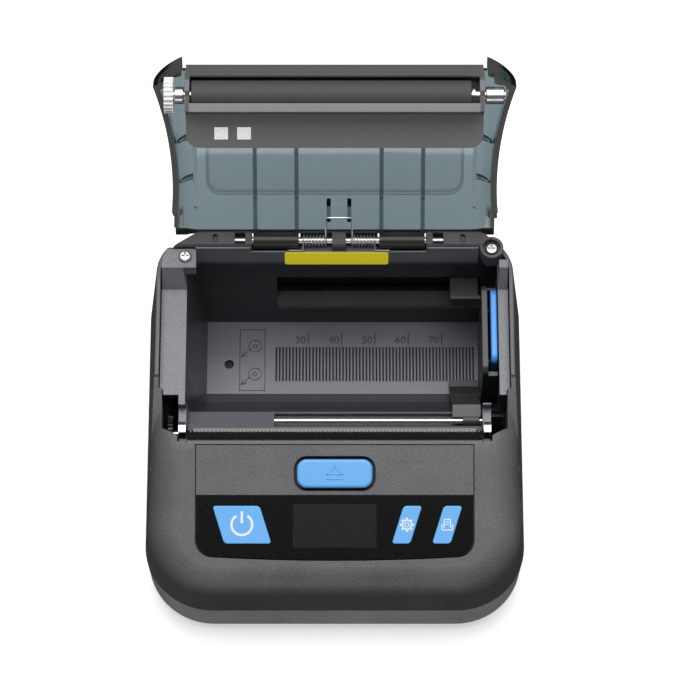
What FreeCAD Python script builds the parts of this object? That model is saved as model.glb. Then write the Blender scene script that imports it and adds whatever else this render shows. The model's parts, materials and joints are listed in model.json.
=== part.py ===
"""Portable thermal label printer with its smoky lid open, built piece by piece in millimetres.

The origin is the centre of the flat underside, +X to the user's right, +Y to the rear and +Z up.
Pieces of the sloping deck are drawn in the deck's frame, whose origin is the middle of the deck's
rear edge and whose Z is square to the deck. Pieces of the lid are drawn closed, in a frame whose
origin is on the hinge axis, and are then turned up by the opening angle.
"""
import FreeCAD
import Part
import Sketcher
import math
import os
import re

# Driving dimensions in millimetres and degrees
SIZES = {
    # Casing
    "body_width": 110,
    "body_length": 108,
    "corner_radius": 20,
    "rear_radius": 15,
    "seam_height": 16.5,
    "upper_draft": 5.5,
    "lower_draft": 3,
    "bottom_round": 5,
    "case_wall": 2.2,
    "floor_wall": 2.6,
    "rim_height": 48.5,
    "rim_wall": 1.2,
    "rim_round": 0.5,
    "rim_front": 3,
    "ramp_length": 16,
    "deck_angle": 20,
    "deck_rear": 12.8,
    "deck_bend": 20,
    "deck_round": 9,
    "deck_wall": 3.2,
    "fit_gap": 0.25,
    "move_gap": 0.35,
    # Control panel on the deck, distances measured down the slope from the deck's rear edge
    "panel_top": 1.6,
    "panel_bottom": 33.9,
    "panel_bow": 1,
    "panel_corner": 5,
    "panel_thick": 2,
    "panel_seat": 1.5,
    "overlay_top": 16.1,
    "overlay_thick": 0.7,
    "button_depth": 8.2,
    "button_place": 10,
    "button_rise": 1,
    "button_corner": 2.8,
    "button_travel": 0.8,
    "button_groove": 0.9,
    "display_depth": 12.6,
    "display_place": 24.9,
    "key_depth": 10.8,
    "key_place": 24.6,
    "key_lean": 3.4,
    "key_corner": 0.9,
    "key_rise": 0.35,
    "key_travel": 0.3,
    "board_thick": 1.4,
    "board_drop": 3.6,
    # Roll bay
    "flange_thick": 2,
    "bay_floor": 8,
    "bay_front_floor": 18.3,
    "bay_lip_height": 36,
    "bay_lip_slope": 0.4545,
    "bay_lip_front": 7.3,
    "bay_wall": 2,
    "slot_left": 17.2,
    "slot_low": 22,
    "slot_high": 33,
    "rack_left": 17.8,
    "rack_front": 22.5,
    "rack_pitch": 1,
    "rack_groove": 0.45,
    "rack_cut": 0.6,
    "fence_thick": 0.45,
    # Hinge
    "hinge_side": 1.2,
    "hinge_pin_radius": 1,
    "running_gap": 0.05,
    "barrel_radius": 2.3,
    "bar_front": 2.4,
    "bar_rear": 2.5,
    "bar_top": 1.5,
    "bar_chamfer": 0.6,
    "spring_wire": 0.5,
    "spring_radius": 1.5,
    "spring_turns": 7,
    "spring_inner": 3.8,
    "spring_loop": 8.4,
    "spring_leg": 2.525,
    # Lid
    "lid_open": 124,
    "lid_corner_slope": 0.512,
    "lid_rear": 0.8,
    "lid_edge": 7,
    "lid_wall": 1.7,
    "lid_dome": 120,
    "lid_apex": 7.8,
    "lid_round": 8,
    "lid_panel_rear": 12.5,
    "lid_panel_step": 0.3,
    "rib_thick": 1.2,
    # Platen and carrier
    "platen_radius": 4.2,
    "shaft_radius": 1.6,
    "bush_radius": 2.5,
    "lip_edge": 5.5,
    "carrier_face": 6.2,
    "cheek_thick": 1.4,
    "window_size": 3.9,
    "window_depth": 1,
    # Gear train
    "gear_module": 0.4,
    "gear_face": 1.4,
    "platen_teeth": 24,
    "drive_teeth": 24,
    "wheel_teeth": 36,
    "step_teeth": 24,
    "pinion_teeth": 12,
    "gear_mesh_gap": 0.15,
    "drive_lead": 2.3,
    "wheel_lead": 6,
    "motor_lag": 4,
    "axle_radius": 0.75,
    "motor_radius": 10,
    "motor_length": 18,
    "bracket_thick": 0.8,
    # Tear blade, print head and latch
    "blade_thick": 0.8,
    "blade_reach": 10,
    "blade_width": 2.4,
    "tooth_pitch": 1.1,
    "tooth_depth": 0.8,
    "head_thick": 1,
    "head_plate": 2.2,
    "head_height": 7.5,
    "head_pin_radius": 1,
    "head_pin_height": 34.2,
    "latch_back": 16,
    "latch_height": 36.5,
    "latch_radius": 1.5,
    "hook_thick": 2,
    # Paper guide
    "rod_radius": 0.8,
    "rod_front": 3.1,
    "rod_height": 36.6,
    "guide_thick": 1.6,
    "guide_front": 9.2,
    "guide_top": 44,
    "paddle_thick": 1.9,
    "paddle_front": 13,
    "paddle_low": 20,
    "paddle_travel": 0.6,
    # Power and electronics
    "battery_left": 21.5,
    "battery_front": 45.5,
    "battery_rear": 10.5,
    "battery_height": 17,
    "cover_thick": 1.4,
    "main_board_height": 22.4,
    "main_board_thick": 1.6,
    "port_place": 27,
    "port_width": 9,
    "port_height": 3.3,
    # Fasteners
    "screw_radius": 1,
    "screw_head_radius": 1.85,
    "screw_head": 1.1,
    "screw_length": 4.5,
    "case_screw_radius": 1.2,
    "case_screw_head_radius": 2.3,
    "case_screw_head": 1.6,
}

# Sizes that follow from the driving ones
DERIVED = {
    # Widths that follow the casing's width
    "panel_width": "body_width-30.2",
    "button_width": "panel_width*21.6/79.8",
    "display_width": "panel_width*24/79.8",
    "power_width": "panel_width*13.5/79.8",
    "power_place": "panel_width*26.5/79.8",
    "small_key_width": "panel_width*5.3/79.8",
    "settings_place": "panel_width*20.6/79.8",
    "feed_place": "panel_width*32.1/79.8",
    "bay_left_top": "body_width/2-11.9",
    "bay_left_floor": "bay_left_top-4.8",
    "bay_right": "body_width/2-7.5",
    "slot_right": "bay_right-4.5",
    "rack_right": "bay_right-5.3",
    "hinge_pin_reach": "body_width*31.5/110",
    "barrel_inner": "body_width*11.7/110",
    "barrel_outer": "body_width*24.9/110",
    "rib_near": "body_width*12.3/110",
    "rib_far": "body_width*24.3/110",
    "spring_pitch": "(barrel_inner-spring_inner-1.25)/spring_turns",
    "lid_front_half": "body_width/2-12",
    "lid_flare_half": "body_width/2-1.4",
    "lid_waist_half": "body_width/2-8.2",
    "lid_rear_half": "body_width/2-6.1",
    "lid_panel_half": "body_width/2-17.5",
    "carrier_half": "body_width/2-12.7",
    "platen_left": "carrier_half-1.9",
    "platen_right": "carrier_half-3.7",
    "bush_start": "carrier_half+0.3",
    "bush_left_end": "carrier_half+2.9",
    "bush_right_end": "carrier_half+5.5",
    "platen_gear_right": "carrier_half+3.2",
    "platen_gear_left": "carrier_half+5.8",
    "window_one": "carrier_half-10",
    "window_two": "carrier_half-16.5",
    "blade_half": "carrier_half",
    "head_half": "carrier_half-1.8",
    "hook_inner": "carrier_half+0.4",
    "guide_face": "bay_right-4.7",
    "guide_left": "bay_right-13.5",
    "paddle_left": "guide_face+2.5",
    "battery_right": "body_width/2-17.5",
    "main_board_right": "body_width/2-6.6",
    # Lengths that follow the casing's length and the deck's place
    "hinge_back": "body_length/2-6.7",
    "fence_front": "hinge_back-3",
    "bay_rear_top": "body_length/2-7.6",
    "bay_rear_floor": "bay_rear_top-4.4",
    "rack_depth": "(bay_rear_floor-bay_front_floor)*11.2/23.7",
    "guide_rear": "bay_rear_floor-4.5",
    "paddle_rear": "bay_rear_floor-5.7",
    "platen_reach": "hinge_back+deck_rear-8.6",
    "lid_front": "platen_reach+6.4",
    "lid_waist_place": "platen_reach-20.5",
    "lid_apex_place": "platen_reach-23",
    "carrier_rear": "platen_reach-17.7",
    "carrier_front": "platen_reach+3.4",
    "lip_rear": "platen_reach+2.3",
    "lip_top": "platen_reach+3.5",
    "lip_front": "platen_reach+5.3",
    "window_place": "platen_reach-13",
    "rib_end": "carrier_rear-0.6",
    # Heights that follow the rim and the lid
    "hinge_height": "rim_height+3.9",
    "ledge_height": "rim_height-3.9",
    "back_height": "rim_height-0.3",
    "pad_height": "rim_height+3.8",
    "fence_low": "hinge_height-1.55",
    "fence_high": "hinge_height+0.9",
    "deck_height": "rim_height-2.5",
    "hook_top": "hinge_height-5.4",
    "platen_drop": "hinge_height-ledge_height+0.1",
}

doc = FreeCAD.newDocument("portable_printer")
sheet = doc.addObject("Spreadsheet::Sheet", "dims")
for row, (alias, size) in enumerate(SIZES.items(), start=1):
    sheet.set(f"A{row}", alias)
    sheet.set(f"B{row}", str(size))
    sheet.setAlias(f"B{row}", alias)
doc.recompute()

NODES = []
CORNER = 1 - math.sqrt(0.5)


def cell(text):
    """Write a size expression with the sheet's names in full and the sizes that follow worked out."""
    def full(word):
        if word[0] in DERIVED:
            return f"({cell(DERIVED[word[0]])})"
        return f"dims.{word[0]}" if word[0] in SIZES else word[0]

    return re.sub(r"[a-z_]+", full, str(text))


def value(text):
    """Work out a size expression as a number."""
    return float(sheet.evalExpression(cell(text)))


def bind(thing, prop, text):
    """Tie one property of a document object to a size expression."""
    thing.setExpression(prop, cell(text))


def turn_about_x(angle):
    """A placement turned about the X axis, ready for its angle to be bound."""
    return FreeCAD.Placement(FreeCAD.Vector(), FreeCAD.Rotation(FreeCAD.Vector(1, 0, 0), angle))


# Named expressions that several pieces share
DECK_Y = "(-deck_rear)"
UPPER_LEAN = "tan(upper_draft)"
RIM_INSET = f"((rim_height-seam_height)*{UPPER_LEAN}+rim_wall)"
OPEN_HALF = f"(body_width/2-{RIM_INSET})"
OPEN_REAR = f"(body_length/2-{RIM_INSET})"
OPEN_RADIUS = f"(rear_radius-{RIM_INSET})"
SHOULDER_HALF = f"({OPEN_HALF}-1)"
OPEN_FRONT = "(-deck_rear+1.2)"
PLATEN_Y = "(hinge_back-platen_reach)"
PLATEN_Z = "(hinge_height-platen_drop)"
DRIVE_Y = f"({PLATEN_Y}-drive_lead)"
DRIVE_STEP = "((platen_teeth+drive_teeth)*gear_module/2+gear_mesh_gap)"
DRIVE_Z = f"({PLATEN_Z}-sqrt({DRIVE_STEP}^2-drive_lead^2))"
WHEEL_STEP = "((step_teeth+drive_teeth)*gear_module/2+gear_mesh_gap)"
WHEEL_Y = f"({DRIVE_Y}-wheel_lead)"
WHEEL_Z = f"({DRIVE_Z}-sqrt({WHEEL_STEP}^2-wheel_lead^2))"
MOTOR_STEP = "((pinion_teeth+wheel_teeth)*gear_module/2+gear_mesh_gap)"
MOTOR_Y = f"({WHEEL_Y}+motor_lag)"
MOTOR_Z = f"({WHEEL_Z}-sqrt({MOTOR_STEP}^2-motor_lag^2))"
WHEEL_LEFT = "(platen_gear_left-gear_face-0.3)"
BRACKET_LEFT = f"({WHEEL_LEFT}-gear_face-0.2)"
BLADE_LOW = "(ledge_height-0.2)"
HEAD_FACE = f"({PLATEN_Y}-platen_radius-0.3)"
HEAD_BACK = f"({HEAD_FACE}-head_thick-head_plate)"
HEAD_PIN_Y = f"({HEAD_BACK}+head_plate/2)"
LATCH_Y = "(-latch_back)"
ROD_Y = "(-rod_front)"


def lid_skin(reach, drop="0"):
    """Height of the lid's domed skin over the hinge axis, at a reach from it, lowered by drop."""
    return f"(lid_apex-({drop})-lid_dome+sqrt(lid_dome^2-(({reach})-lid_apex_place)^2))"


def deck_top(y):
    """Height of the deck's plane at a place along Y."""
    return f"(deck_height+(({y})+deck_rear)*tan(deck_angle))"


def rect(x_low, y_low, x_high, y_high):
    """Outline of a rectangle."""
    return [(x_low, y_low), (x_high, y_low), (x_high, y_high), (x_low, y_high)]


def rounded(x_low, y_low, x_high, y_high, radius, rear=None):
    """Outline of a rectangle with round corners; a point with four entries starts an arc."""
    rear = rear or radius
    near = f"({CORNER}*({radius}))"
    far = f"({CORNER}*({rear}))"
    return [
        (f"{x_low}+({radius})", y_low),
        (f"{x_high}-({radius})", y_low, f"{x_high}-{near}", f"{y_low}+{near}"),
        (x_high, f"{y_low}+({radius})"),
        (x_high, f"{y_high}-({rear})", f"{x_high}-{far}", f"{y_high}-{far}"),
        (f"{x_high}-({rear})", y_high),
        (f"{x_low}+({rear})", y_high, f"{x_low}+{far}", f"{y_high}-{far}"),
        (x_low, f"{y_high}-({rear})"),
        (x_low, f"{y_low}+({radius})", f"{x_low}+{near}", f"{y_low}+{near}"),
    ]


class Piece:
    """One sub-part: a body whose features read the sheet."""

    def __init__(self, label, frame="base", keep=True):
        self.body = doc.addObject("PartDesign::Body", label)
        self.body.Label = label
        self.body.AllowCompound = True
        if frame == "deck":
            self.body.Placement = turn_about_x(value("deck_angle"))
            bind(self.body, "Placement.Rotation.Angle", "deck_angle")
            bind(self.body, "Placement.Base.y", DECK_Y)
            bind(self.body, "Placement.Base.z", "deck_height")
        if frame == "lid":
            self.body.Placement = turn_about_x(-value("lid_open"))
            self.body.Placement.Rotation = FreeCAD.Rotation(FreeCAD.Vector(-1, 0, 0), value("lid_open"))
            bind(self.body, "Placement.Rotation.Angle", "lid_open")
            bind(self.body, "Placement.Base.y", "hinge_back")
            bind(self.body, "Placement.Base.z", "hinge_height")
        if keep:
            NODES.append(self.body)

    def new(self, kind):
        """Add a feature to the body."""
        return self.body.newObject(f"PartDesign::{kind}", f"{self.body.Label}_{kind.lower()}")

    def sketch(self, plane, level, outline):
        """Draw a closed outline on one of the body's planes, or on the deck, at a level."""
        drawing = self.body.newObject("Sketcher::SketchObject", f"{self.body.Label}_outline")
        role = "XY_Plane" if plane == "deck" else f"{plane}_Plane"
        support = [item for item in self.body.Origin.OriginFeatures if item.Role == role][0]
        drawing.AttachmentSupport = [(support, "")]
        drawing.MapMode = "FlatFace"
        if plane == "deck":
            drawing.AttachmentOffset = turn_about_x(value("deck_angle"))
            bind(drawing, "AttachmentOffset.Rotation.Angle", "deck_angle")
            bind(drawing, "AttachmentOffset.Base.y", f"{DECK_Y}-({level})*sin(deck_angle)")
            bind(drawing, "AttachmentOffset.Base.z", f"deck_height+({level})*cos(deck_angle)")
        else:
            bind(drawing, "AttachmentOffset.Base.z", f"-({level})" if plane == "XZ" else level)
        spots = [FreeCAD.Vector(value(point[0]), value(point[1]), 0) for point in outline]
        ends = []
        for place, point in enumerate(outline):
            start = spots[place]
            stop = spots[(place + 1) % len(spots)]
            if len(point) == 4:
                via = FreeCAD.Vector(value(point[2]), value(point[3]), 0)
                edge = drawing.addGeometry(Part.Arc(start, via, stop), False)
                forward = drawing.getPoint(edge, 1).distanceToPoint(start) < 1e-6
                ends.append((edge, 1 if forward else 2, 2 if forward else 1))
                mark = drawing.addGeometry(Part.Point(via), True)
                self.pin_point(drawing, mark, 1, point[2], point[3])
                drawing.addConstraint(Sketcher.Constraint("PointOnObject", mark, 1, edge))
            else:
                edge = drawing.addGeometry(Part.LineSegment(start, stop), False)
                ends.append((edge, 1, 2))
        for place, point in enumerate(outline):
            edge, first, last = ends[place]
            after, after_first, _ = ends[(place + 1) % len(ends)]
            drawing.addConstraint(Sketcher.Constraint("Coincident", edge, last, after, after_first))
            self.pin_point(drawing, edge, first, point[0], point[1])
        return drawing

    def pin_point(self, drawing, edge, end, x_text, y_text):
        """Hold one point of a sketch at a pair of size expressions."""
        for kind, text in (("DistanceX", x_text), ("DistanceY", y_text)):
            rule = drawing.addConstraint(Sketcher.Constraint(kind, -1, 1, edge, end, value(text)))
            bind(drawing, f"Constraints[{rule}]", text)

    def grow(self, kind, plane, level, outline, length, to, taper=None):
        """Pad or pocket an outline towards the plane's positive side, negative side or both (0)."""
        feature = self.new(kind)
        feature.Profile = self.sketch(plane, level, outline)
        bind(feature, "Length", length)
        if to == 0:
            feature.SideType = "Symmetric"
        else:
            natural = 1 if kind == "Pad" else -1
            natural = -natural if plane == "XZ" else natural
            feature.Reversed = natural != to
        if taper:
            bind(feature, "TaperAngle", taper)
        return self

    def pad(self, plane, level, outline, length, to=1, taper=None):
        """Add an extruded outline."""
        return self.grow("Pad", plane, level, outline, length, to, taper)

    def pocket(self, plane, level, outline, length, to=1):
        """Cut an extruded outline."""
        return self.grow("Pocket", plane, level, outline, length, to)

    def block(self, kind, x_low, x_high, y_low, y_high, z_low, z_high):
        """Add or cut a box between two corners."""
        feature = self.new(f"{kind}Box")
        bind(feature, "Length", f"({x_high})-({x_low})")
        bind(feature, "Width", f"({y_high})-({y_low})")
        bind(feature, "Height", f"({z_high})-({z_low})")
        for axis, low in zip("xyz", (x_low, y_low, z_low)):
            bind(feature, f"Placement.Base.{axis}", low)
        return self

    def box(self, *corners):
        """Add a box."""
        return self.block("Additive", *corners)

    def cut_box(self, *corners):
        """Cut a box."""
        return self.block("Subtractive", *corners)

    def round_bar(self, kind, axis, start, radius, length):
        """Add or cut a cylinder that runs from start along +X, +Y or +Z."""
        feature = self.new(f"{kind}Cylinder")
        turns = {
            "X": FreeCAD.Rotation(FreeCAD.Vector(0, 1, 0), 90),
            "Y": FreeCAD.Rotation(FreeCAD.Vector(1, 0, 0), -90),
            "Z": FreeCAD.Rotation(),
        }
        feature.Placement = FreeCAD.Placement(FreeCAD.Vector(), turns[axis])
        bind(feature, "Radius", radius)
        bind(feature, "Height", length)
        for name, low in zip("xyz", start):
            bind(feature, f"Placement.Base.{name}", low)
        return self

    def rod(self, axis, start, radius, length):
        """Add a cylinder."""
        return self.round_bar("Additive", axis, start, radius, length)

    def bore(self, axis, start, radius, length):
        """Cut a cylinder."""
        return self.round_bar("Subtractive", axis, start, radius, length)

    def cut_by(self, tool):
        """Cut another body out of this one."""
        feature = self.new("Boolean")
        feature.Type = "Cut"
        feature.setObjects([tool.body])
        return self

    def join(self, tool):
        """Add another body to this one."""
        feature = self.new("Boolean")
        feature.Type = "Fuse"
        feature.setObjects([tool.body])
        return self

    def soften(self, kind, pick, radius):
        """Round or bevel the edges whose middle points pass a test."""
        doc.recompute()
        base = self.body.Tip
        names = []
        for number, edge in enumerate(base.Shape.Edges, start=1):
            middle = edge.valueAt((edge.FirstParameter + edge.LastParameter) / 2)
            if pick(middle, edge):
                names.append(f"Edge{number}")
        feature = self.new(kind)
        feature.Base = (base, names)
        bind(feature, "Radius" if kind == "Fillet" else "Size", radius)
        return self

    def fillet(self, pick, radius):
        """Round the picked edges."""
        return self.soften("Fillet", pick, radius)

    def chamfer(self, pick, size):
        """Bevel the picked edges."""
        return self.soften("Chamfer", pick, size)


def upright(edge):
    """True for a straight edge along Z."""
    return edge.BoundBox.XLength < 1e-3 and edge.BoundBox.YLength < 1e-3


def along_x(edge):
    """True for a straight edge along X."""
    return edge.BoundBox.YLength < 1e-3 and edge.BoundBox.ZLength < 1e-3


def set_shape(label, shape, placement=None):
    """Keep a shape made by formula as a sub-part."""
    feature = doc.addObject("Part::Feature", label)
    feature.Label = label
    feature.Shape = shape
    if placement:
        feature.Placement = placement
    NODES.append(feature)
    return feature


# Upper case: drafted shell with the sloping deck in front and a rim round the bay
def make_upper_case():
    """The drafted outer shell, rounded over its deck, opened for the bay and the control panel."""
    case = Piece("upper_case")
    outline = rounded("-body_width/2", "-body_length/2", "body_width/2", "body_length/2", "corner_radius",
                      "rear_radius")
    case.pad("XY", "seam_height", outline, "deck_height-seam_height", taper="-upper_draft")
    bend = "(deck_bend*tan(deck_angle/2))"
    far = "(-body_length)"
    case.pocket("YZ", "0", [
        (far, deck_top(far)),
        (f"{DECK_Y}-{bend}*cos(deck_angle)", f"deck_height-{bend}*sin(deck_angle)",
         f"{DECK_Y}+{bend}-deck_bend*sin(deck_angle/2)", "deck_height-deck_bend*(1-cos(deck_angle/2))"),
        (f"{DECK_Y}+{bend}", "deck_height"),
        (f"{DECK_Y}+{bend}", "deck_height*2"),
        (far, "deck_height*2"),
    ], "body_width*2", to=0)
    tops = value("deck_height")
    bend_end = value(f"{DECK_Y}+{bend}")

    def on_top_rim(middle, edge):
        height = min(tops, value(deck_top(str(round(middle.y, 6)))))
        across = along_x(edge) and -0.45 * value("body_length") < middle.y < bend_end + 1
        return abs(middle.z - height) < 0.6 and not across

    case.fillet(on_top_rim, "deck_round")
    rim = rounded("-body_width/2", "-body_length/2", "body_width/2", "body_length/2", "corner_radius",
                  "rear_radius")
    rim[0] = ("-body_width/2", "rim_front")
    rim[1] = ("body_width/2", "rim_front")
    case.pad("XY", "seam_height", rim[:2] + rim[3:7], "rim_height-seam_height", taper="-upper_draft")
    case.fillet(lambda middle, edge: abs(middle.z - value("rim_height")) < 1e-3, "rim_round")
    case.join(make_rim_ramp())
    case.cut_box("-body_width", "body_width", "hinge_back-0.3", "body_length", "ledge_height",
                 "rim_height+1")
    # Opening over the roll bay, with its narrower front part and slanting front corners
    case.pocket("XY", "rim_height+1", rounded(
        f"-{OPEN_HALF}", f"-{OPEN_RADIUS}", OPEN_HALF, OPEN_REAR, OPEN_RADIUS)[3:7] + [
        (f"-{OPEN_HALF}", "rim_front"), (OPEN_HALF, "rim_front")], "rim_height+2-seam_height", to=-1)
    case.pocket("XY", "rim_height+1", [
        (f"-{SHOULDER_HALF}", "rim_front+1"), (f"-{SHOULDER_HALF}", f"{OPEN_FRONT}+3"),
        ("-hook_inner-hook_thick-0.4", OPEN_FRONT), ("hook_inner+hook_thick+0.4", OPEN_FRONT),
        (SHOULDER_HALF, f"{OPEN_FRONT}+3"), (SHOULDER_HALF, "rim_front+1"),
    ], "rim_height+2-seam_height", to=-1)
    case.cut_by(make_case_hollow())
    for side in ("-hook_inner-hook_thick-0.4", "hook_inner-0.4"):
        case.cut_box(side, f"{side}+hook_thick+0.8", f"{OPEN_FRONT}-1.7", f"{OPEN_FRONT}+0.1",
                     "latch_height-2", "deck_height+2")
    case.cut_box("-platen_gear_left-0.9", "-bush_left_end", f"{OPEN_FRONT}-0.6", f"{OPEN_FRONT}+4",
                 f"{DRIVE_Z}-4", f"{DRIVE_Z}+drive_teeth*gear_module/2+0.9")
    # Seat of the tear blade and the dark channel in front of it
    case.cut_box("-blade_half-fit_gap", "blade_half+fit_gap", f"{DECK_Y}-1.1", f"{OPEN_FRONT}+0.1",
                 BLADE_LOW, "deck_height+2")
    # Panel opening with the shelf that carries the panel
    case.pocket("deck", "1", panel_outline("0"), "panel_thick+1", to=-1)
    case.pocket("deck", "1", rounded("-panel_width/2+panel_seat", "-panel_bottom+panel_seat",
                                     "panel_width/2-panel_seat", "-panel_top-panel_seat",
                                     "panel_corner-panel_seat"),
                "deck_wall+2.5", to=-1)
    # Ears under the deck that carry the latch shaft, a rib behind the head spring and screw bosses
    for side in ("-hook_inner+1.7", "hook_inner-3.7"):
        ear = [f"({LATCH_Y}-2.5)", f"({LATCH_Y}+2.5)"]
        case.pad("YZ", side, [
            (ear[0], "latch_height-3"), (ear[1], "latch_height-3"),
            (ear[1], f"{deck_top(ear[1])}-deck_wall+0.2"),
            (ear[0], f"{deck_top(ear[0])}-deck_wall+0.2")], "2")
    case.bore("X", ("-body_width/2+case_wall*3", LATCH_Y, "latch_height"), "latch_radius+running_gap",
              "body_width-case_wall*6")
    case.box("-14", "14", f"{HEAD_BACK}-2.3", f"{HEAD_BACK}-1.3", "latch_height+2.5",
             f"{deck_top(HEAD_BACK)}-deck_wall")
    for side in ("-body_width/2+10.5", "body_width/2-10.5"):
        case.rod("Z", (side, "-body_length/2+13", "seam_height"), "case_screw_radius+2",
                 f"{deck_top('-body_length/2+13')}-seam_height-deck_wall-2")
        case.bore("Z", (side, "-body_length/2+13", "seam_height-1"), "case_screw_radius+running_gap", "7")
    case.pocket("YZ", "body_width/2-8", rounded(
        "-port_place-port_width/2-fit_gap", "main_board_height+main_board_thick-fit_gap",
        "-port_place+port_width/2+fit_gap", "main_board_height+main_board_thick+port_height+fit_gap",
        "port_height/2"), "10", to=1)


def make_rim_ramp():
    """The slope on each side that leads from the deck's round edge up to the rim."""
    ramp = Piece("rim_ramp", keep=False)
    low = "(rim_front-ramp_length)"
    ramp.pad("XY", "seam_height", rect("-body_width/2", f"{low}-8", "body_width/2", "rim_front+12"),
             "rim_height-seam_height", taper="-upper_draft")
    ramp.pocket("YZ", "0", [
        (low, "deck_height-deck_round", f"{low}*0.45+(rim_front+4)*0.55",
         "(deck_height-deck_round)*0.4+rim_height*0.6"),
        ("rim_front+4", "rim_height-0.4"), ("rim_front+20", "rim_height-0.4"),
        ("rim_front+20", "rim_height*2"),
        (f"{low}-20", "rim_height*2"), (f"{low}-20", "deck_height-deck_round")], "body_width*2", to=0)
    return ramp


def panel_outline(inset):
    """Outline of the control panel in the deck's frame, bowed along its lower edge."""
    half = f"(panel_width/2-({inset}))"
    low = f"(-panel_bottom+({inset}))"
    high = f"(-panel_top-({inset}))"
    corners = rounded(f"-{half}", low, half, high, "panel_corner")
    corners[0] = (f"-{half}+panel_corner", low, "0", f"{low}-panel_bow")
    return corners[:3] + [(half, high), (f"-{half}", high)] + corners[6:]


def make_case_hollow():
    """The space inside the front of the upper case, under the deck."""
    hollow = Piece("case_hollow", keep=False)
    half = "(body_width/2-case_wall*2.5)"
    front = "(-body_length/2+case_wall*1.5)"
    hollow.pad("XY", "seam_height-1", rounded(f"-{half}", front, half, f"{OPEN_FRONT}+corner_radius",
                                              "corner_radius-case_wall*2")[:3]
               + [(half, f"{OPEN_FRONT}+4"), (f"-{half}", f"{OPEN_FRONT}+4")]
               + [rounded(f"-{half}", front, half, "0", "corner_radius-case_wall*2")[7]],
               "deck_height-seam_height")
    low = "deck_round"
    hollow.pocket("YZ", "0", [
        ("-body_length", f"{deck_top('-body_length')}-{low}"), (DECK_Y, f"deck_height-{low}"),
        ("body_length", f"deck_height-{low}"), ("body_length", "deck_height*2"),
        ("-body_length", "deck_height*2"),
    ], "body_width*2", to=0)
    near = "(-body_length/2+10)"
    hollow.pad("YZ", "0", [
        (near, f"{deck_top(near)}-{low}-2"), (f"{OPEN_FRONT}+1", f"deck_height-{low}-4"),
        (f"{OPEN_FRONT}+1", f"{deck_top(DECK_Y)}-deck_wall"), (DECK_Y, "deck_height-deck_wall"),
        (near, f"{deck_top(near)}-deck_wall"),
    ], "body_width-2*deck_round-0.8", to=0)
    return hollow


def make_lower_case():
    """The drafted bottom shell with its rounded lower edge, battery bay and screw holes."""
    case = Piece("lower_case")
    outline = rounded("-body_width/2", "-body_length/2", "body_width/2", "body_length/2", "corner_radius",
                      "rear_radius")
    case.pad("XY", "seam_height", outline, "seam_height", to=-1, taper="-lower_draft")
    case.fillet(lambda middle, edge: abs(middle.z) < 1e-3, "bottom_round")
    inset = "(case_wall+bottom_round*0.36)"
    case.pocket("XY", "seam_height", rounded(
        f"-body_width/2+{inset}", f"-body_length/2+{inset}", f"body_width/2-{inset}",
        f"body_length/2-{inset}", f"corner_radius-{inset}", f"rear_radius-{inset}"),
        "seam_height-floor_wall", to=-1)
    # Battery hatch: a hole with a rebate for the cover
    case.cut_box("-battery_left+1", "battery_right-1", "-battery_front+1", "-battery_rear-1",
                 "-1", "floor_wall+1")
    case.cut_box("-battery_left-1", "battery_right+1", "-battery_front-1", "-battery_rear+1",
                 "-1", "cover_thick+fit_gap")
    # Posts that carry the main board and the screws of the case
    for x, y in (("battery_right+2.6", "-battery_rear-4"), ("battery_right+2.6", "-battery_front+9"),
                 ("-battery_left-2.2", "-battery_rear-4"), ("-battery_left-2.2", "-battery_front+9")):
        case.rod("Z", (x, y, "floor_wall-0.5"), "1.6", "main_board_height-floor_wall+0.5")
    for x, y in CASE_SCREWS:
        top = "seam_height" if y.startswith("-") else "bay_floor-bay_wall"
        case.rod("Z", (x, y, "floor_wall-1"), "case_screw_radius+2", f"{top}-floor_wall+1")
        case.bore("Z", (x, y, "-1"), "case_screw_radius+running_gap", f"{top}+2")
        case.bore("Z", (x, y, "-1"), "case_screw_head_radius+fit_gap", "case_screw_head+1.3")


CASE_SCREWS = (
    ("-body_width/2+10.5", "-body_length/2+13"),
    ("body_width/2-10.5", "-body_length/2+13"),
    ("-bay_left_floor+6", "bay_rear_floor-10"),
    ("bay_right-8", "bay_rear_floor-10"),
)


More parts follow.
